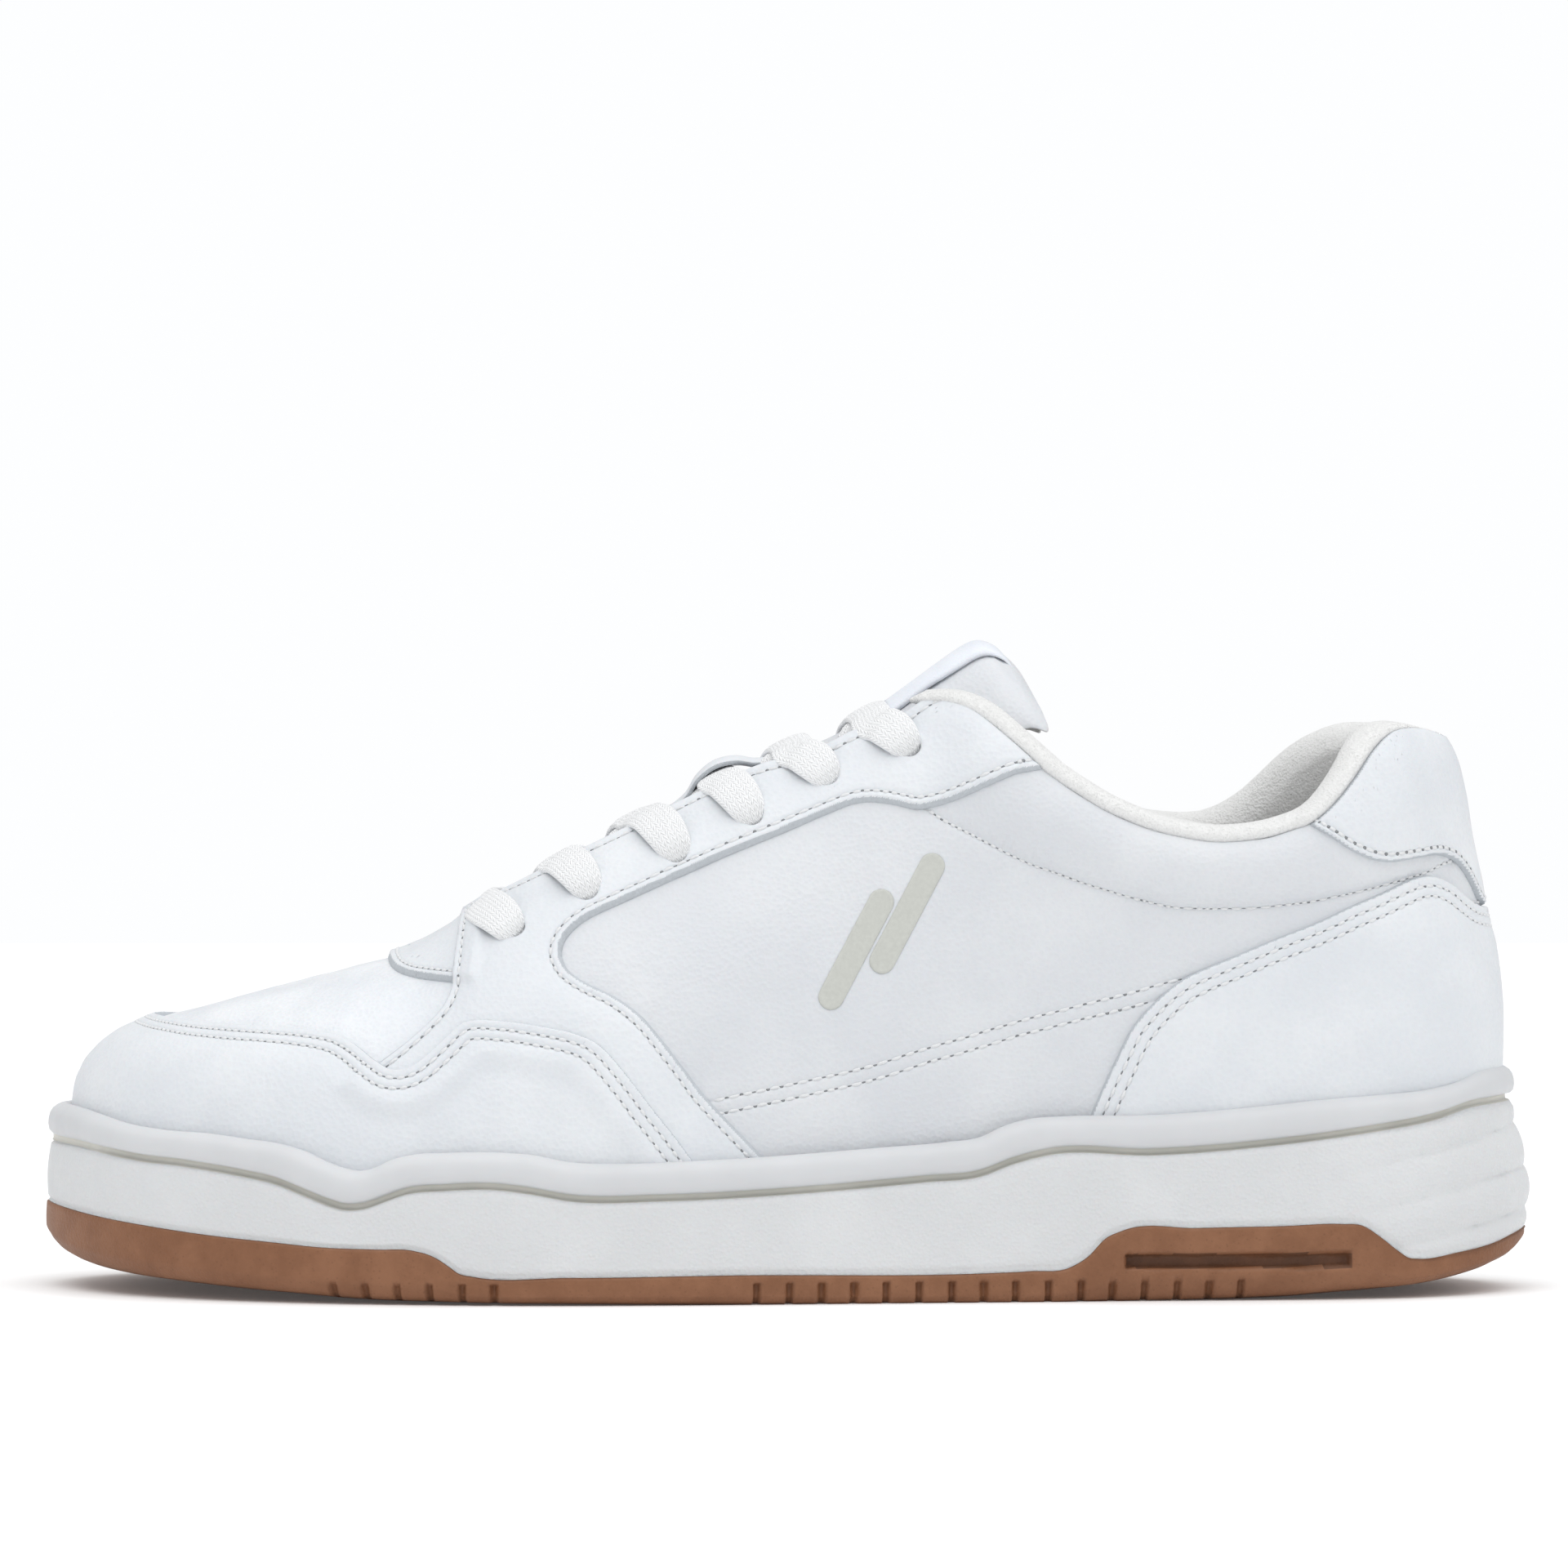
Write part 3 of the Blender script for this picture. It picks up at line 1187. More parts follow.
def topline_path(step):
    """Points along the topline from the lateral front round the heel to the medial front."""
    ends = [np.c_[surface(uv[:, 0], uv[:, 1]), uv] for uv in rough_strip(top_border.rough)]
    line = max(chains(*ends), key=len)
    line = line[line[:, 0] > 25.2]
    if line[0, 1] > line[-1, 1]:
        line = line[::-1]
    d = np.r_[0, np.cumsum(np.linalg.norm(np.diff(line[:, :3], axis=0), axis=1))]
    count = int(d[-1] / step)
    t = np.linspace(0, d[-1], count)
    return np.stack([np.interp(t, d, line[:, k]) for k in range(4)], -1)


def eased(values, reach):
    """Moving average along a row of vectors, ends kept."""
    longer = np.concatenate([np.repeat(values[:1], reach, 0), values, np.repeat(values[-1:], reach, 0)])
    kernel = np.hanning(2 * reach + 3)[1:-1]
    kernel /= kernel.sum()
    return np.stack([np.convolve(column, kernel, "valid") for column in longer.T], -1)


whole_tree = KDTree(len(whole.points))
for vertex, spot in enumerate(whole.points):
    whole_tree.insert(spot, vertex)
whole_tree.balance()


def normal_near(points):
    """Normals of the last's vertices nearest to some points."""
    return whole_normals[[whole_tree.find(p)[1] for p in points]]


def make_collar():
    """Padded collar and its lining: one closed profile carried round the topline."""
    line = topline_path(1.0)
    p, theta = eased(line[:, :3], 4), line[:, 3]
    tangent = np.gradient(p, axis=0)
    tangent /= np.linalg.norm(tangent, axis=1, keepdims=True)
    inward = -normal_near(p) * (1, 1, 0)
    inward = eased(inward / np.linalg.norm(inward, axis=1, keepdims=True), 8)
    inward -= tangent * (inward * tangent).sum(1, keepdims=True)
    inward /= np.linalg.norm(inward, axis=1, keepdims=True)
    up = np.cross(tangent, inward)
    up *= np.sign(up[:, 2:3])
    x, top_z = p[:, 0], p[:, 2]
    plump = 0.30 + 0.70 * smoothstep(34, 66, x)
    lip = 0.4 + 0.4 * smoothstep(25.2, 28, x) + 0.2 * smoothstep(28, 40, x)
    lip = (lip * (1 - 0.72 * smoothstep(115, 128, x)))[:, None]
    overlaid = 0.9 * np.maximum(smoothstep(54, 50, x), smoothstep(100, 104, x))
    bumps = waviness(p, 14, 21)[:, None]
    columns = []
    profile = [(-2.6, 1.45), (-0.8, 1.2), (-0.25, 0.7), (0.0, -0.05), (0.6, -0.5), (1.4, -0.65),
               (2.2, -0.35), (2.8, 0.3), (3.2, 1.2), (3.45, 2.4), (3.4, 3.6), (3.1, 4.8), (2.5, 6.0),
               (1.6, 7.1), (0.4, 8.0), (-1.2, 8.8), (-3.2, 9.4)]
    for rise, depth in profile:
        outward = overlaid * min(max((1.45 - depth) / 1.6, 0), 1)
        depth = np.where(depth > 1, 1 + (depth - 1) * plump, depth) - outward
        columns.append(p + up * (rise * lip + 0.12 * bumps) + inward * np.asarray(depth)[:, None])
    foot, top, square = smooth(FEATHER, x), smooth(RIDGE, x), smooth(SQUARENESS, x)
    side = np.where(p[:, 1] < smooth(MIDDLE, x), -1, 1)

    def wall(z, depth):
        """Row of points on the last at a height, some depth inside it."""
        share = ((z - foot) / (top - foot)).clip(0.001, 1)
        girth = np.arcsin(share ** (square / 2))
        girth = np.where(side > 0, math.pi - girth, girth)
        base = surface(theta, girth)
        flat = -normal_near(base) * (1, 1, 0)
        flat = eased(flat / np.linalg.norm(flat, axis=1, keepdims=True), 6)
        return base + flat * depth[:, None]

    floor_z = foot + 9.0
    for share in np.linspace(0.06, 1.0, 26):
        z = top_z - 4.5 + (floor_z - top_z + 4.5) * share
        depth = 2.6 + (1 + 8.6 * plump - 2.6) * smoothstep(0.62, 0.0, share) + 0.25 * waviness(p, 18, 22)
        columns.append(wall(z, depth))
    columns.append(wall(floor_z - 1.0, np.full(len(p), 1.9)))
    for share in np.linspace(1.0, 0.12, 8):
        z = top_z - 3.0 + (floor_z - top_z + 3.0) * share
        columns.append(wall(z, np.full(len(p), 1.45)))
    grid = np.array(columns)
    rows, count = grid.shape[0], grid.shape[1]
    i, j = np.meshgrid(np.arange(rows), np.arange(count - 1), indexing="ij")
    i, j = i.ravel(), j.ravel()
    k = (i + 1) % rows
    faces = np.c_[i * count + j, k * count + j, k * count + j + 1, i * count + j + 1].tolist()
    faces.append((np.arange(rows) * count).tolist()[::-1])
    faces.append((np.arange(rows) * count + count - 1).tolist())
    material = [0 if f // count < len(profile) + 6 else 1 for f in i * count] + [0, 0]
    collar = make_object("collar_padding", grid.reshape(-1, 3), faces, [textile, inner_textile], material)
    outward_check(collar)
    put(collar, "shoe", "textile", "collar_lining", "collar_foam")


def outward_check(obj):
    """Turn the faces outward."""
    work = bmesh.new()
    work.from_mesh(obj.data)
    bmesh.ops.recalc_face_normals(work, faces=work.faces)
    work.to_mesh(obj.data)
    work.free()


make_front_lining()
make_collar()

# ------------------------------------------------------------------ tongue
TONGUE_WIDTHS = [(-62, 9), (-56, 15), (-45, 21), (-20, 24), (5, 24.5), (20, 23), (30, 21.5), (40, 20.5),
                 (47, 19.5)]
TONGUE_DEPTH = [(-62, 4.4), (-40, 4.2), (0, 4.0), (8, 3.6), (20, 2.2), (30, 1.0), (40, 0.9)]
TONGUE_THICK = [(-62, 2.0), (-30, 3.2), (0, 4.5), (15, 6.0), (30, 7.5), (40, 7.0)]
TIP_X = 46.4
ROLL_X = 37.6


def arch_drop(x, y):
    """How far the last lies under its ridge at a distance y from the middle."""
    foot, top, square = smooth(FEATHER, x), smooth(RIDGE, x), smooth(SQUARENESS, x)
    middle = smooth(MIDDLE, x)
    lateral_half = middle - np.interp(x, LATERAL[:, 0], LATERAL[:, 1])
    medial_half = np.interp(x, MEDIAL[:, 0], MEDIAL[:, 1]) - middle
    half = np.where(y < 0, lateral_half, medial_half)
    share = np.clip(np.abs(y) / half, 0, 0.95)
    return (top - foot) * (1 - (1 - share**square) ** (1 / square))


def on_tongue(x, y, lift):
    """Point lift mm off the tongue's outer face, y from the middle, in the plane across its run."""
    x = np.asarray(x, float)
    slope = (smooth(RIDGE, x + 1.5) - smooth(RIDGE, x - 1.5)) / 3.0
    slope = np.where(x > 30, 0.5, slope)
    tilt = np.arctan(slope)
    crest_z = smooth(RIDGE, x) - smooth(TONGUE_DEPTH, x) / np.cos(tilt)
    rolled = 129 - 0.056 * (x - ROLL_X).clip(0) ** 2
    crest_z = -np.logaddexp(-crest_z, -rolled)
    tip = smoothstep(26, 36, x)
    arch = arch_drop(x, y) * (1 - tip) + arch_drop(x, -np.abs(y)) * tip + 0.008 * y**2 * tip
    down = arch * np.cos(tilt) - lift
    return np.stack([x + np.sin(tilt) * down, smooth(MIDDLE, x) + y, crest_z - np.cos(tilt) * down], -1)


def tube_faces(rings, sides):
    """Faces of a tube from rings of as many points, with a cap at each end."""
    i, j = np.meshgrid(np.arange(rings - 1), np.arange(sides), indexing="ij")
    i, j = i.ravel(), j.ravel()
    k = (j + 1) % sides
    faces = np.c_[i * sides + j, i * sides + k, (i + 1) * sides + k, (i + 1) * sides + j].tolist()
    faces.append(list(range(sides))[::-1])
    faces.append(((rings - 1) * sides + np.arange(sides)).tolist())
    return faces


def make_tongue():
    """Padded tongue that bends with its tip: leather outside, brushed lining inside."""
    stations = np.r_[np.linspace(-61.5, 30, 120), np.linspace(30.7, TIP_X - 3, 10),
                     TIP_X - 3 * np.cos(np.linspace(0.15, math.pi / 2, 9))]
    around = 72
    angle = np.linspace(0, 2 * math.pi, around, endpoint=False)
    rings = []
    for x in stations:
        end = np.clip((x - (TIP_X - 3)) / 3, 0, 1)
        shrink = math.sqrt(max(1 - end**2, 0.0)) if end < 1 else 0.02
        half = float(smooth(TONGUE_WIDTHS, [x])[0]) - 2.5 * (1 - shrink)
        thick = float(smooth(TONGUE_THICK, [x])[0]) * max(shrink, 0.05)
        across = np.cos(angle)
        y = half * np.sign(across) * np.abs(across) ** 0.75
        edge = np.clip(1 - np.abs(y / half) ** 5, 0, 1) ** 0.5
        up = np.sign(np.sin(angle)) * edge * thick / 2
        lift = up - thick / 2 - (1 - shrink) * 1.0
        seam = 0.0
        if x > 8:
            inset = np.minimum(half - np.abs(y), TIP_X - x)
            seam = -0.45 * np.exp(-((inset - 4.5) / 0.6) ** 2) * (np.sin(angle) > 0)
        ripple = 0.12 * waviness(np.c_[np.full(around, x), y, np.zeros(around)], 13, 31)
        rings.append(on_tongue(np.full(around, x), y, lift + seam + ripple))
    grid = np.array(rings)
    faces = tube_faces(len(stations), around)
    top_half = np.sin(angle) > -0.15
    slots = [0 if top_half[j] else 1 for _ in range(len(stations) - 1) for j in range(around)] + [0, 0]
    tongue = make_object("tongue_pad", grid.reshape(-1, 3), faces, [leather, textile], slots)
    outward_check(tongue)
    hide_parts("tongue_face", "tongue_foam", "tongue_lining", "tongue_tip_face",
                "tongue_tip_foam", "tongue_tip_lining")
    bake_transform(tongue)


def make_ribbon():
    """Satin pull loop along the tongue's tip, rolled over its end."""
    half, thick = 10.0, 0.9
    stations = np.linspace(20.5, TIP_X - 1.4, 44)
    side = np.linspace(-1, 1, 15) * half
    rings = []
    for x, share in zip(stations, np.linspace(0, 1, len(stations))):
        lift = 0.12 + 0.5 * math.sin(math.pi * share) ** 0.8 - 1.5 * float(smoothstep(0.9, 1.0, share))
        upper = on_tongue(np.full(15, x), side, np.full(15, lift + thick))
        lower = on_tongue(np.full(15, x), side, np.full(15, lift))
        rings.append(np.r_[upper, lower[::-1]])
    grid = np.array(rings)
    ribbon = make_object("tongue_ribbon_loop", grid.reshape(-1, 3), tube_faces(len(rings), 30), [satin])
    outward_check(ribbon)
    put(ribbon, "tongue_tip", "ribbon", "tongue_ribbon")


make_tongue()
make_ribbon()

# ------------------------------------------------------------------ laces
LACE_WIDTH = 8.6
LACE_THICKNESS = 1.5


def base_spot(x, y):
    """Base leather point and normal at plan (x, y from the middle)."""
    p = np.stack([x, smooth(MIDDLE, x) + y, smooth(RIDGE, x) - arch_drop(x, y)], -1)
    step = 0.5
    dx = np.stack([np.full(len(x), 2 * step), np.zeros(len(x)),
                   (smooth(RIDGE, x + step) - arch_drop(x + step, y))
                   - (smooth(RIDGE, x - step) - arch_drop(x - step, y))], -1)
    dy = np.stack([np.zeros(len(x)), np.full(len(x), 2 * step),
                   arch_drop(x, y - step) - arch_drop(x, y + step)], -1)
    n = np.cross(dx, dy)
    return p, n / np.linalg.norm(n, axis=1, keepdims=True)


def curve_through(points, count):
    """Centripetal-like smooth curve through control rows, resampled evenly."""
    p = fine_rows(np.array(points, float), 24)
    d = np.r_[0, np.cumsum(np.linalg.norm(np.diff(p[:, :3], axis=0), axis=1))]
    t = np.linspace(0, d[-1], count)
    return np.stack([np.interp(t, d, p[:, k]) for k in range(p.shape[1])], -1)


def fine_rows(p, steps):
    """Catmull-Rom with chord-length knots through rows of any width."""
    d = np.r_[0, np.cumsum(np.linalg.norm(np.diff(p[:, :3], axis=0), axis=1) ** 0.75)]
    t = np.linspace(0, d[-1], steps * (len(p) - 1) + 1)
    slopes = np.gradient(p, d, axis=0)
    i = np.clip(np.searchsorted(d, t) - 1, 0, len(d) - 2)
    h = (d[i + 1] - d[i])[:, None]
    u = (t[:, None] - d[i][:, None]) / h
    return (p[i] * (2 * u**3 - 3 * u**2 + 1) + p[i + 1] * (3 * u**2 - 2 * u**3)
            + h * slopes[i] * (u**3 - 2 * u**2 + u) + h * slopes[i + 1] * (u**3 - u**2))


LACE_POINTS, LACE_FACES, LACE_UVS = [], [], []


def add_lace(controls, seed):
    """One flat woven pass; controls are (x, y from the middle, depth, width share)."""
    c = np.array(controls, float)
    spots, normals = base_spot(c[:, 0], c[:, 1])
    spots = spots + normals * c[:, 2:3]
    rows = curve_through(np.c_[spots, normals, c[:, 3]], 90)
    p, n, share = rows[:, :3], rows[:, 3:6], rows[:, 6]
    tangent = np.gradient(p, axis=0)
    tangent /= np.linalg.norm(tangent, axis=1, keepdims=True)
    n = eased(n, 4)
    n -= tangent * (n * tangent).sum(1, keepdims=True)
    n /= np.linalg.norm(n, axis=1, keepdims=True)
    across = np.cross(tangent, n)
    sides = 28
    angle = np.arange(sides) * 2 * math.pi / sides
    width = LACE_WIDTH * share / 2
    thick = LACE_THICKNESS / 2 * (1 + 1.1 * (1 - share))
    cos, sin = np.cos(angle), np.sin(angle)
    wide = np.sign(cos) * np.abs(cos) ** 0.55
    high = np.sign(sin) * np.abs(sin) ** 0.8
    state = np.random.default_rng(seed)
    curl = 0.35 * (wide**2 - 0.4)
    length = np.r_[0, np.cumsum(np.linalg.norm(np.diff(p, axis=0), axis=1))]
    wobble = 0.15 * np.sin(length / 3.1 + state.uniform(0, 6))
    rib = 0.05 * np.sin(2 * math.pi * length / 1.1)[:, None] * (np.abs(high) > 0.5)[None, :]
    ring = (p[:, None, :] + across[:, None, :] * (width[:, None] * wide[None, :])[..., None]
            + n[:, None, :] * (thick[:, None] * high[None, :] - curl[None, :] + wobble[:, None] * wide
                               + rib)[..., None])
    base = sum(len(q) for q in LACE_POINTS)
    LACE_POINTS.append(ring.reshape(-1, 3))
    for face in tube_faces(len(p), sides):
        LACE_FACES.append([base + v for v in face])
    uv = np.stack([np.broadcast_to(length[:, None], (len(p), sides)),
                   np.broadcast_to(wide[None, :] * 0.5 + 0.5, (len(p), sides))], -1)
    LACE_UVS.append(uv.reshape(-1, 2))


# Depth of a pass that lies on the eyestay.
ON_STAY = OVERLAY + 0.95


def throat_half(x):
    """Half width of the lacing gap at one x."""
    return float(smooth(THROAT, [x])[0])


# Share of the way from the gap's edge to the eyelet, depth and width share of each pass.
DESCENT = [(0, 1.1, 1.0), (0.3, ON_STAY + 0.25, 1.02), (0.62, ON_STAY + 0.75, 1.0), (0.87, 2.1, 0.84),
           (1.0, -0.6, 0.58), (1.0, -3.4, 0.5)]


def make_laces():
    """Front bar, then a pass from under each side to the next eyelet of the other side."""
    x0, h0 = EYELET_ROWS[0]
    bar = []
    for side in (-1, 1):
        half = [
            (x0 + 0.6, side * (h0 + 0.5), -3.4, 0.5),
            (x0 + 0.6, side * (h0 + 0.5), -0.6, 0.58),
            (x0 - 0.3, side * (h0 - 0.5), 2.1, 0.84),
            (x0 - 2.0, side * (h0 - 3.2), ON_STAY + 0.75, 1.0),
            (x0 - 4.8, side * (h0 - 9.0), ON_STAY + 0.15, 1.05),
            (x0 - 6.8, side * 8.5, 1.0, 1.0),
        ]
        bar += half if side < 0 else half[::-1]
    bar.insert(6, (x0 - 7.6, 0, 0.5, 1.0))
    add_lace(bar, 1)
    for row in range(5):
        xi = EYELET_ROWS[row][0]
        xj, hj = EYELET_ROWS[row + 1]
        ti, tj = throat_half(xi), throat_half(xj)
        for side in (-1, 1):
            upper = 1.4 if side < 0 else 0.0
            add_lace([
                (xi + 2.0, -side * (ti + 6.5), -4.6, 0.9),
                (xi + 3.6, -side * (ti + 1.0), -3.6, 1.0),
                (xi + (xj - xi) * 0.31, -side * ti * 0.52, -2.6 + upper * 0.6, 1.0),
                (xi + (xj - xi) * 0.40, 0, -2.7 + upper, 1.0),
                (xi + (xj - xi) * 0.49, side * tj * 0.52, -1.6 + upper * 0.5, 1.0),
            ] + [
                (xj - 6.6 + 7.2 * share, side * (tj - 0.9 + (hj - tj + 1.4) * share), depth, width)
                for share, depth, width in DESCENT
            ], 10 + row * 2 + (side > 0))
    lace = make_object("woven_lace_passes", np.concatenate(LACE_POINTS), LACE_FACES, [lace_weave],
                       uvs=np.concatenate(LACE_UVS))
    outward_check(lace)
    put(lace, "shoe", "lace", "shoelace")


make_laces()


def make_keeper():
    """Leather strap stitched along the tongue, which the crossing laces run under."""
    line = [(-26, -3.4), (-23, -3.2), (-20.5, -2.4), (-17.5, -0.3), (-13.5, 0.75), (-9.5, -0.3),
            (-6.5, -2.4), (-4, -3.2), (-1, -3.4)]
    rows = curve_through([(x, depth, 0.0) for x, depth in line], 60)
    half, thick = 5.2, 1.3
    rings = []
    y = np.r_[np.linspace(-half, half, 13), np.linspace(half, -half, 13)]
    off = np.r_[np.full(13, thick / 2), np.full(13, -thick / 2)]
    off = off * (1 - 0.35 * (np.abs(y) / half) ** 8)
    for x, depth, _ in rows:
        spot, normal = base_spot(np.full(26, x), y)
        rings.append(spot + normal * (depth + off)[:, None])
    faces = tube_faces(len(rings), 26)
    side_face = {12, 25}
    slots = [1 if j in side_face else 0 for _ in range(len(rings) - 1) for j in range(26)] + [1, 1]
    keeper = make_object("lace_keeper_strap", np.concatenate(rings), faces, [overlay, raw_edge], slots)
    outward_check(keeper)
    put(keeper, "shoe", "overlay_leather", "lace_keeper")


make_keeper()

# ------------------------------------------------------------------ emblem: two plain slanted bars
EMBLEM_BARS = [(8, 57, 26), (18, 64, 26)]
EMBLEM_TILT = math.radians(62)
EMBLEM_WIDTH = 5.0


def bars_field(points):
    """Distance inside the emblem's bars, negative outside."""
    out = np.full(len(points), -99.0)
    for x, z, length in EMBLEM_BARS:
        run = np.array([math.cos(EMBLEM_TILT), math.sin(EMBLEM_TILT)])
        gap = points[:, [0, 2]] - (x, z)
        t = (gap @ run).clip(EMBLEM_WIDTH / 2, length - EMBLEM_WIDTH / 2)
        out = np.maximum(out, EMBLEM_WIDTH / 2 - np.linalg.norm(gap - t[:, None] * run, axis=1))
    return out


for side, name in ((-1, "lateral"), (1, "medial")):
    patch = panel([bars_field, sides[side]], levels=(0.3, 0.6), fine_band=2)
    edge = patch.data["edge"]
    height = base_height(patch)
    height += 0.28 + rounded(edge, 0.5, 0.14) - 0.08 * smoothstep(0.5, 1.5, edge)
    emblem, _ = skin(f"emblem_{name}_print", patch, height, 0.6, [print_grey, print_edge])
    put(emblem, "shoe", "print", f"emblem_{name}")

# ------------------------------------------------------------------ sole
GUM_BOTTOM = [
    (-151, 12), (-149.9, 11.2), (-147.2, 8.2), (-143, 6.1), (-138.1, 5.1), (-129.9, 4.1),
    (-118.2, 3.2), (-106.1, 2.3), (-94.7, 1.6), (-84.7, 0.9), (-62.2, 0.3), (-40, 0.05), (87.8, 0.05),
    (98.7, 0.5), (107.7, 1.2), (115.2, 1.7), (124.2, 2.4), (133.5, 3.8), (141.2, 5.6),
    (145.5, 7.3), (147.8, 9.4), (149.5, 11),
]
GUM_TOP = [
    (-151, 17.5), (-149.6, 17.3), (-138.9, 15.8), (-123.9, 14.1), (-113.2, 13), (-99.3, 11.9),
    (-89.1, 11.1), (-78.9, 10.9), (-71.6, 10.7), (-67.6, 9.5), (-64.9, 7.8), (-62.9, 6.4),
    (-60.2, 5.8), (-41.6, 5.6), (-9.6, 5.9), (37.9, 5.8), (48.1, 6.2), (55.8, 6.9), (59.3, 9),
    (62.6, 12.4), (66.1, 14), (80.6, 14.4), (97.8, 14.7), (109, 15), (113.3, 14.6), (116.8, 12.4),
    (120.3, 9.7), (122.6, 8.2), (124.8, 7.9), (132.9, 8.8), (140.6, 10.1), (145.9, 11.7), (149, 12.6),
]
GROOVE = [
    (-151, 30.6), (-148.9, 30.5), (-143.4, 30.2), (-135.2, 28.9), (-127.7, 27.9), (-120.4, 27.4),
    (-113.3, 26.6), (-106.3, 25.6), (-99.4, 24.2), (-94, 22.2), (-89.2, 20.4), (-85.8, 19.5),
    (-81.7, 19.8), (-77.7, 21.2), (-73.7, 22.6), (-65.6, 23.4), (-55.7, 23.6), (-49, 22.8),
    (-41.7, 21.5), (-23.2, 21.4), (2.2, 22.6), (27.7, 24.7), (38.7, 25.8), (44.8, 28.1),
    (51.6, 29.8), (72.1, 29.7), (97.9, 31.7), (115.2, 33.9), (128.6, 36), (138, 38.2),
    (144.7, 38.7), (150, 39),
]
WALL_DEPTH = 9
WALL_ROWS = 35
TREAD_ROWS = 71
NOTCH_WIDTH = 1.3
NOTCHES = [-87.5 + 6.3 * k for k in range(6)] + [-5.2 + 6.3 * k for k in range(16)]
NOTCH_TOP = 4.0
# Side slot: from x, to x, from z, to z. Pivot circle: x, y, radius.
SLOT = (66.6, 110.7, 6.6, 9.1)
PIVOT = (-84.0, 1.0, 21.0)


def ring_stations(step):
    """Places along the sole's outline at an even step, with the direction outward at each."""
    closed = np.r_[outline_curve, outline_curve[:1]]
    d = np.r_[0, np.cumsum(np.linalg.norm(np.diff(closed, axis=0), axis=1))]
    count = int(d[-1] / step)
    t = np.linspace(0, d[-1], count, endpoint=False)
    out = np.r_[outline_out, outline_out[:1]]
    p = np.stack([np.interp(t, d, closed[:, k]) for k in range(2)], -1)
    n = np.stack([np.interp(t, d, out[:, k]) for k in range(2)], -1)
    return p, n / np.linalg.norm(n, axis=1, keepdims=True)


def ring_mesh(name, rings, materials, slots):
    """Closed mesh from rings of equal length; slots gives each band's material."""
    n = len(rings[0])
    faces, index = [], []
    i = np.arange(n)
    j = (i + 1) % n
    for k in range(len(rings) - 1):
        faces += np.c_[k * n + i, k * n + j, (k + 1) * n + j, (k + 1) * n + i].tolist()
        index += [slots[k]] * n
    faces.append(np.arange(n)[::-1].tolist())
    faces.append(((len(rings) - 1) * n + np.arange(n)).tolist())
    index += [slots[0], slots[-1]]
    return make_object(name, np.concatenate(rings), faces, materials, index)


def heel_end(x):
    """0..1: how far a place lies into the sole's ribbed heel."""
    return smoothstep(105, 138, x)


def ring_at(p, n, offset, z):
    """Row of points beside the outline, moved outward by an offset, at a height."""
    offset = np.broadcast_to(offset, (len(p),))
    z = np.broadcast_to(z, (len(p),))
    return np.c_[p + n * offset[:, None], z]


def make_cupsole():
    """White cup: textured wall with heel ribs (slot 0), recessed ledge (1) and rolled band (2)."""
    p, n = ring_stations(0.5)
    x = p[:, 0]
    low, mid, top = smooth(GUM_TOP, x), smooth(GROOVE, x), smooth(BAND_TOP, x)
    heel = heel_end(x)
    back = smoothstep(125, 146, x)
    toe = smoothstep(-128, -146, x)
    rings, slots = [], []

    def add(offset, z, slot):
        rings.append(ring_at(p, n, offset, z))
        slots.append(slot)

    for offset, drop in ((-WALL_DEPTH, 0.4), (-1.6, 0.4), (-0.6, 0.1)):
        add(offset, low - drop, 0)
    for share in np.linspace(0, 1, WALL_ROWS):
        z = low + 0.35 + (mid - 1.35 - low - 0.35) * share
        rib_line = z - 0.22 * (x - 145)
        rib = np.abs(np.sin(rib_line * math.pi / 8.4 + 0.5)) ** 0.45
        ribs = -1.15 * (1 - rib) * heel
        bulge = 1.0 * np.sin(math.pi * share) * heel + 0.5 * toe * np.sin(math.pi * share)
        end = -0.7 * max(0, (share - 0.94) / 0.06) - 0.4 * max(0, (0.05 - share) / 0.05)
        taper = (0.5 - 2.2 * smoothstep(0.2, 1.0, share)) * back
        add(-0.5 - 0.7 * share + ribs + bulge + end + taper, z, 0)
    add(-2.6 + 1.3 * toe - 1.2 * back, mid - 1.25, 1)
    for drop in (1.1, 0.05):
        add(-3.2 + 1.7 * toe - 1.2 * back, mid - drop, 1)
    add(-2.4 + 1.1 * toe - 1.6 * back, mid + 0.08, 2)
    for share, offset in ((0.03, -1.5), (0.12, -1.05), (0.3, -0.85), (0.5, -0.95), (0.68, -1.25),
                          (0.82, -1.8), (0.92, -2.6), (0.98, -3.4), (1.0, -4.2)):
        add(offset + 0.4 * toe - 1.7 * back, mid + 0.1 + (top - mid) * share, 2)
    for offset, drop in ((-5.0, 0.25), (-5.6, 1.4), (-6.0, 5)):
        add(offset, top - drop, 2)
    for offset, rise in ((-6.6, 9), (-WALL_DEPTH, 8)):
        add(offset, low + rise, 2)
    cup = ring_mesh("cupsole_shell", rings, [wall_rubber, ledge_rubber, band_rubber], slots[1:] + [2])
    put(cup, "shoe", "white_rubber", "cupsole")


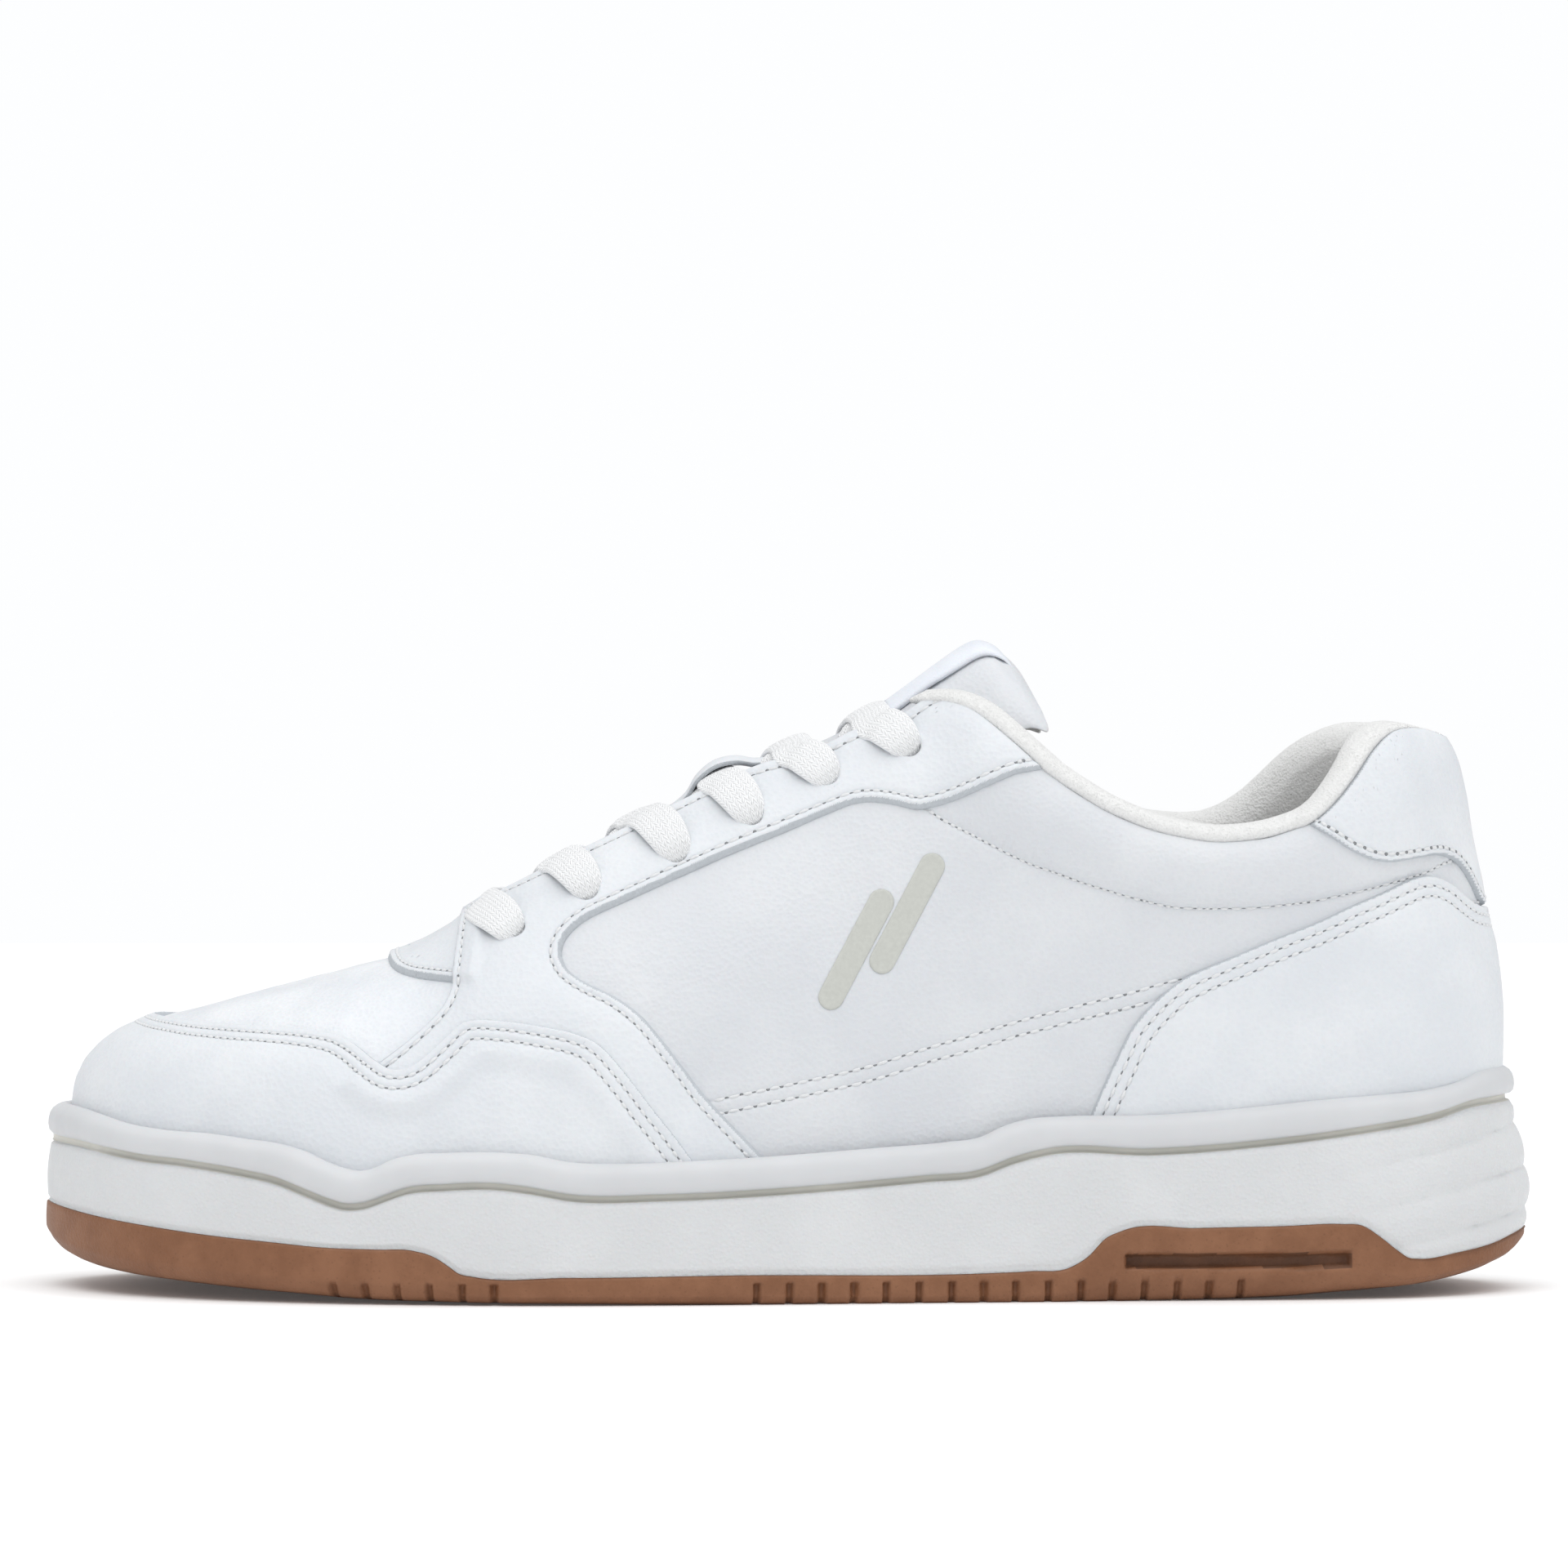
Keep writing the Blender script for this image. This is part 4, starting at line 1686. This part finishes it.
def tread(x, y, edge):
    """Depth of the tread's grooves: herringbone, a pivot circle and a plain shank."""
    zig = np.abs(((y + 60) / 11.0) % 2 - 1) * 7.0
    wave = ((x + zig) / 5.2) % 1
    groove = smoothstep(0.30, 0.22, np.abs(wave - 0.5))
    groove = groove * 0.9
    radius = np.hypot(x - PIVOT[0], y - PIVOT[1])
    rings = smoothstep(0.30, 0.22, np.abs((radius / 4.2) % 1 - 0.5))
    groove = np.where(radius < PIVOT[2], rings, groove)
    groove = np.maximum(groove, smoothstep(1.4, 0.9, np.abs(radius - PIVOT[2] - 0.8)))
    shank = smoothstep(-40, -34, x) * smoothstep(38, 32, x)
    bars = smoothstep(0.18, 0.1, np.abs((x / 9.0) % 1 - 0.5)) * smoothstep(20, 17, np.abs(y + 2))
    groove = groove * (1 - shank) + bars * shank
    return groove * smoothstep(6.5, 8.0, edge)


def make_outsole():
    """Gum sole: notched edge, side slots and a tread pressed into the underside."""
    p, n = ring_stations(0.43)
    x = p[:, 0]
    ground, top = smooth(GUM_BOTTOM, x), smooth(GUM_TOP, x)
    flat = np.abs(n[:, 1]) > 0.75
    off_notch = np.abs(x[:, None] - NOTCHES).min(1)
    notch = np.where(flat, smoothstep(NOTCH_WIDTH / 2 + 0.15, NOTCH_WIDTH / 2 - 0.15, off_notch), 0)
    slot_in = np.where(flat, smoothstep(SLOT[0] - 0.4, SLOT[0] + 0.4, x)
                       * smoothstep(SLOT[1] + 0.4, SLOT[1] - 0.4, x), 0)
    heel = heel_end(x)
    rings = []

    def add(offset, z):
        rings.append(ring_at(p, n, offset, z))

    for offset, drop in ((-WALL_DEPTH, 0.2), (-0.75, 0.15), (-0.35, 0.35)):
        add(offset, top - drop)
    for share in (0.94, 0.87, 0.80, 0.74, 0.69, 0.655, 0.62, 0.57, 0.52, 0.475, 0.45, 0.42, 0.36, 0.3):
        z = ground + (top - ground) * share
        inside = smoothstep(SLOT[2] - 0.3, SLOT[2] + 0.15, z)
        inside = inside * smoothstep(SLOT[3] + 0.3, SLOT[3] - 0.15, z)
        offset = -0.25 + 0.2 * math.sin(math.pi * share) - 2.2 * inside * slot_in
        offset = offset - 0.5 * heel - 1.6 * notch * smoothstep(NOTCH_TOP + 0.4, NOTCH_TOP - 0.2, z)
        add(offset, z)
    for drop, offset in ((0.26, -0.35), (0.18, -0.7), (0.1, -1.4), (0.04, -2.6), (0.0, -4.6)):
        z = ground + (top - ground) * drop
        add(offset - 0.5 * heel - 1.7 * notch, z + 0.25 * (drop == 0))
    inner = ring_at(p, n, -6.0, ground + 0.02)
    spine_x = np.clip(x, -104, 108)
    spine = np.c_[spine_x, smooth(MIDDLE, spine_x)]
    depth = np.linalg.norm(inner[:, :2] - spine, axis=1)
    for share in np.linspace(0, 0.985, TREAD_ROWS):
        xy = inner[:, :2] * (1 - share) + spine * share
        z = smooth(GUM_BOTTOM, xy[:, 0]) + 0.02
        z = z + tread(xy[:, 0], xy[:, 1], 6.0 + depth * share)
        rings.append(np.c_[xy, z])
    rings = [np.c_[ring[:, :2], ring[:, 2].clip(0)] for ring in rings]
    sole = ring_mesh("outsole_shell", rings, [gum, dark_gum], [0] * (len(rings) - 1))
    middles = np.empty(len(sole.data.polygons) * 3)
    sole.data.polygons.foreach_get("center", middles)
    middles = middles.reshape(-1, 3) / MM
    recessed = ((middles[:, 0] > SLOT[0]) & (middles[:, 0] < SLOT[1]) & (middles[:, 2] > SLOT[2] - 0.1)
                & (middles[:, 2] < SLOT[3] + 0.1))
    sole.data.polygons.foreach_set("material_index", recessed.astype(np.int32))
    put(sole, "shoe", "gum_rubber", "outsole")


make_cupsole()
make_outsole()

# ------------------------------------------------------------------ camera, floor and light
CAMERA = (0.0, -1.4, 0.1008)
FIELD_WIDTH = 0.3147
SENSOR = 36.0
FLOOR_SIZE = 6.0
camera_data = bpy.data.cameras.new("camera")
camera_data.sensor_width = SENSOR
camera_data.lens = SENSOR * -CAMERA[1] / FIELD_WIDTH
camera_data.clip_end = 50
camera = bpy.data.objects.new("camera", camera_data)
camera.location = CAMERA
camera.rotation_euler = (math.pi / 2, 0, 0)
bpy.context.scene.collection.objects.link(camera)
bpy.context.scene.camera = camera

floor_material = Shader("studio_floor", (0.93, 0.93, 0.93), 0.6)
mottle = floor_material.mix(floor_material.noise(400, 2), (0.96, 0.96, 0.96), (0.975, 0.975, 0.975))
floor_material.colour(mottle)
floor_material.set(floor_material.principled, "Emission Color", (1.0, 1.0, 1.0))
floor_material.set(floor_material.principled, "Emission Strength", 0.05)
floor_mesh = bpy.data.meshes.new("floor")
half = FLOOR_SIZE / 2
floor_mesh.from_pydata([(-half, -half, 0), (half, -half, 0), (half, half, 0), (-half, half, 0)], [],
                       [(0, 1, 2, 3)])
floor_mesh.materials.append(floor_material.material)
floor = bpy.data.objects.new("floor", floor_mesh)
bpy.context.scene.collection.objects.link(floor)


def area_light(name, place, target, size, power):
    """Rectangular lamp at a place, turned to a target."""
    data = bpy.data.lights.new(name, "AREA")
    data.shape = "RECTANGLE"
    data.size, data.size_y = size
    data.energy = power
    light = bpy.data.objects.new(name, data)
    light.location = place
    light.rotation_euler = (Vector(target) - Vector(place)).to_track_quat("-Z", "Y").to_euler()
    bpy.context.scene.collection.objects.link(light)


area_light("key", (-0.5, -0.9, 1.3), (0, 0, 0.05), (0.9, 0.7), 2.2)
area_light("heel_fill", (0.9, -0.35, 0.75), (0.12, 0, 0.09), (0.6, 0.6), 1.3)
sun_data = bpy.data.lights.new("sky_panel", "SUN")
sun_data.energy = 1.55
sun_data.angle = math.radians(75)
sun = bpy.data.objects.new("sky_panel", sun_data)
sun.rotation_euler = Vector((0.0, 0.18, -1.0)).to_track_quat("-Z", "Y").to_euler()
bpy.context.scene.collection.objects.link(sun)
world = bpy.data.worlds.new("studio")
world.use_nodes = True
sky = world.node_tree.nodes["Background"]
sky.inputs["Color"].default_value = (0.985, 0.992, 1, 1)
rays = world.node_tree.nodes.new("ShaderNodeLightPath")
level = world.node_tree.nodes.new("ShaderNodeMapRange")
world.node_tree.links.new(rays.outputs["Is Camera Ray"], level.inputs["Value"])
level.inputs["To Min"].default_value = 0.66
level.inputs["To Max"].default_value = 1.0
world.node_tree.links.new(level.outputs[0], sky.inputs["Strength"])
bpy.context.scene.world = world
bpy.context.scene.view_settings.view_transform = "Standard"

for leftover in ("Cube", "Light", "Camera"):
    if leftover in bpy.data.objects:
        bpy.data.objects.remove(bpy.data.objects[leftover], do_unlink=True)

CAD_FINISHES = {
    "midsole": foam, "strobel_board": board, "insole": foam, "insole_cover": inner_textile,
    "toe_puff": board, "heel_stiffener": board, "eyestay_backing_lateral": inner_textile,
    "eyestay_backing_medial": inner_textile, "lace_tips": tip_plastic,
}
for node, finish in CAD_FINISHES.items():
    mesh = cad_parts[node].data
    mesh.materials.clear()
    mesh.materials.append(finish)
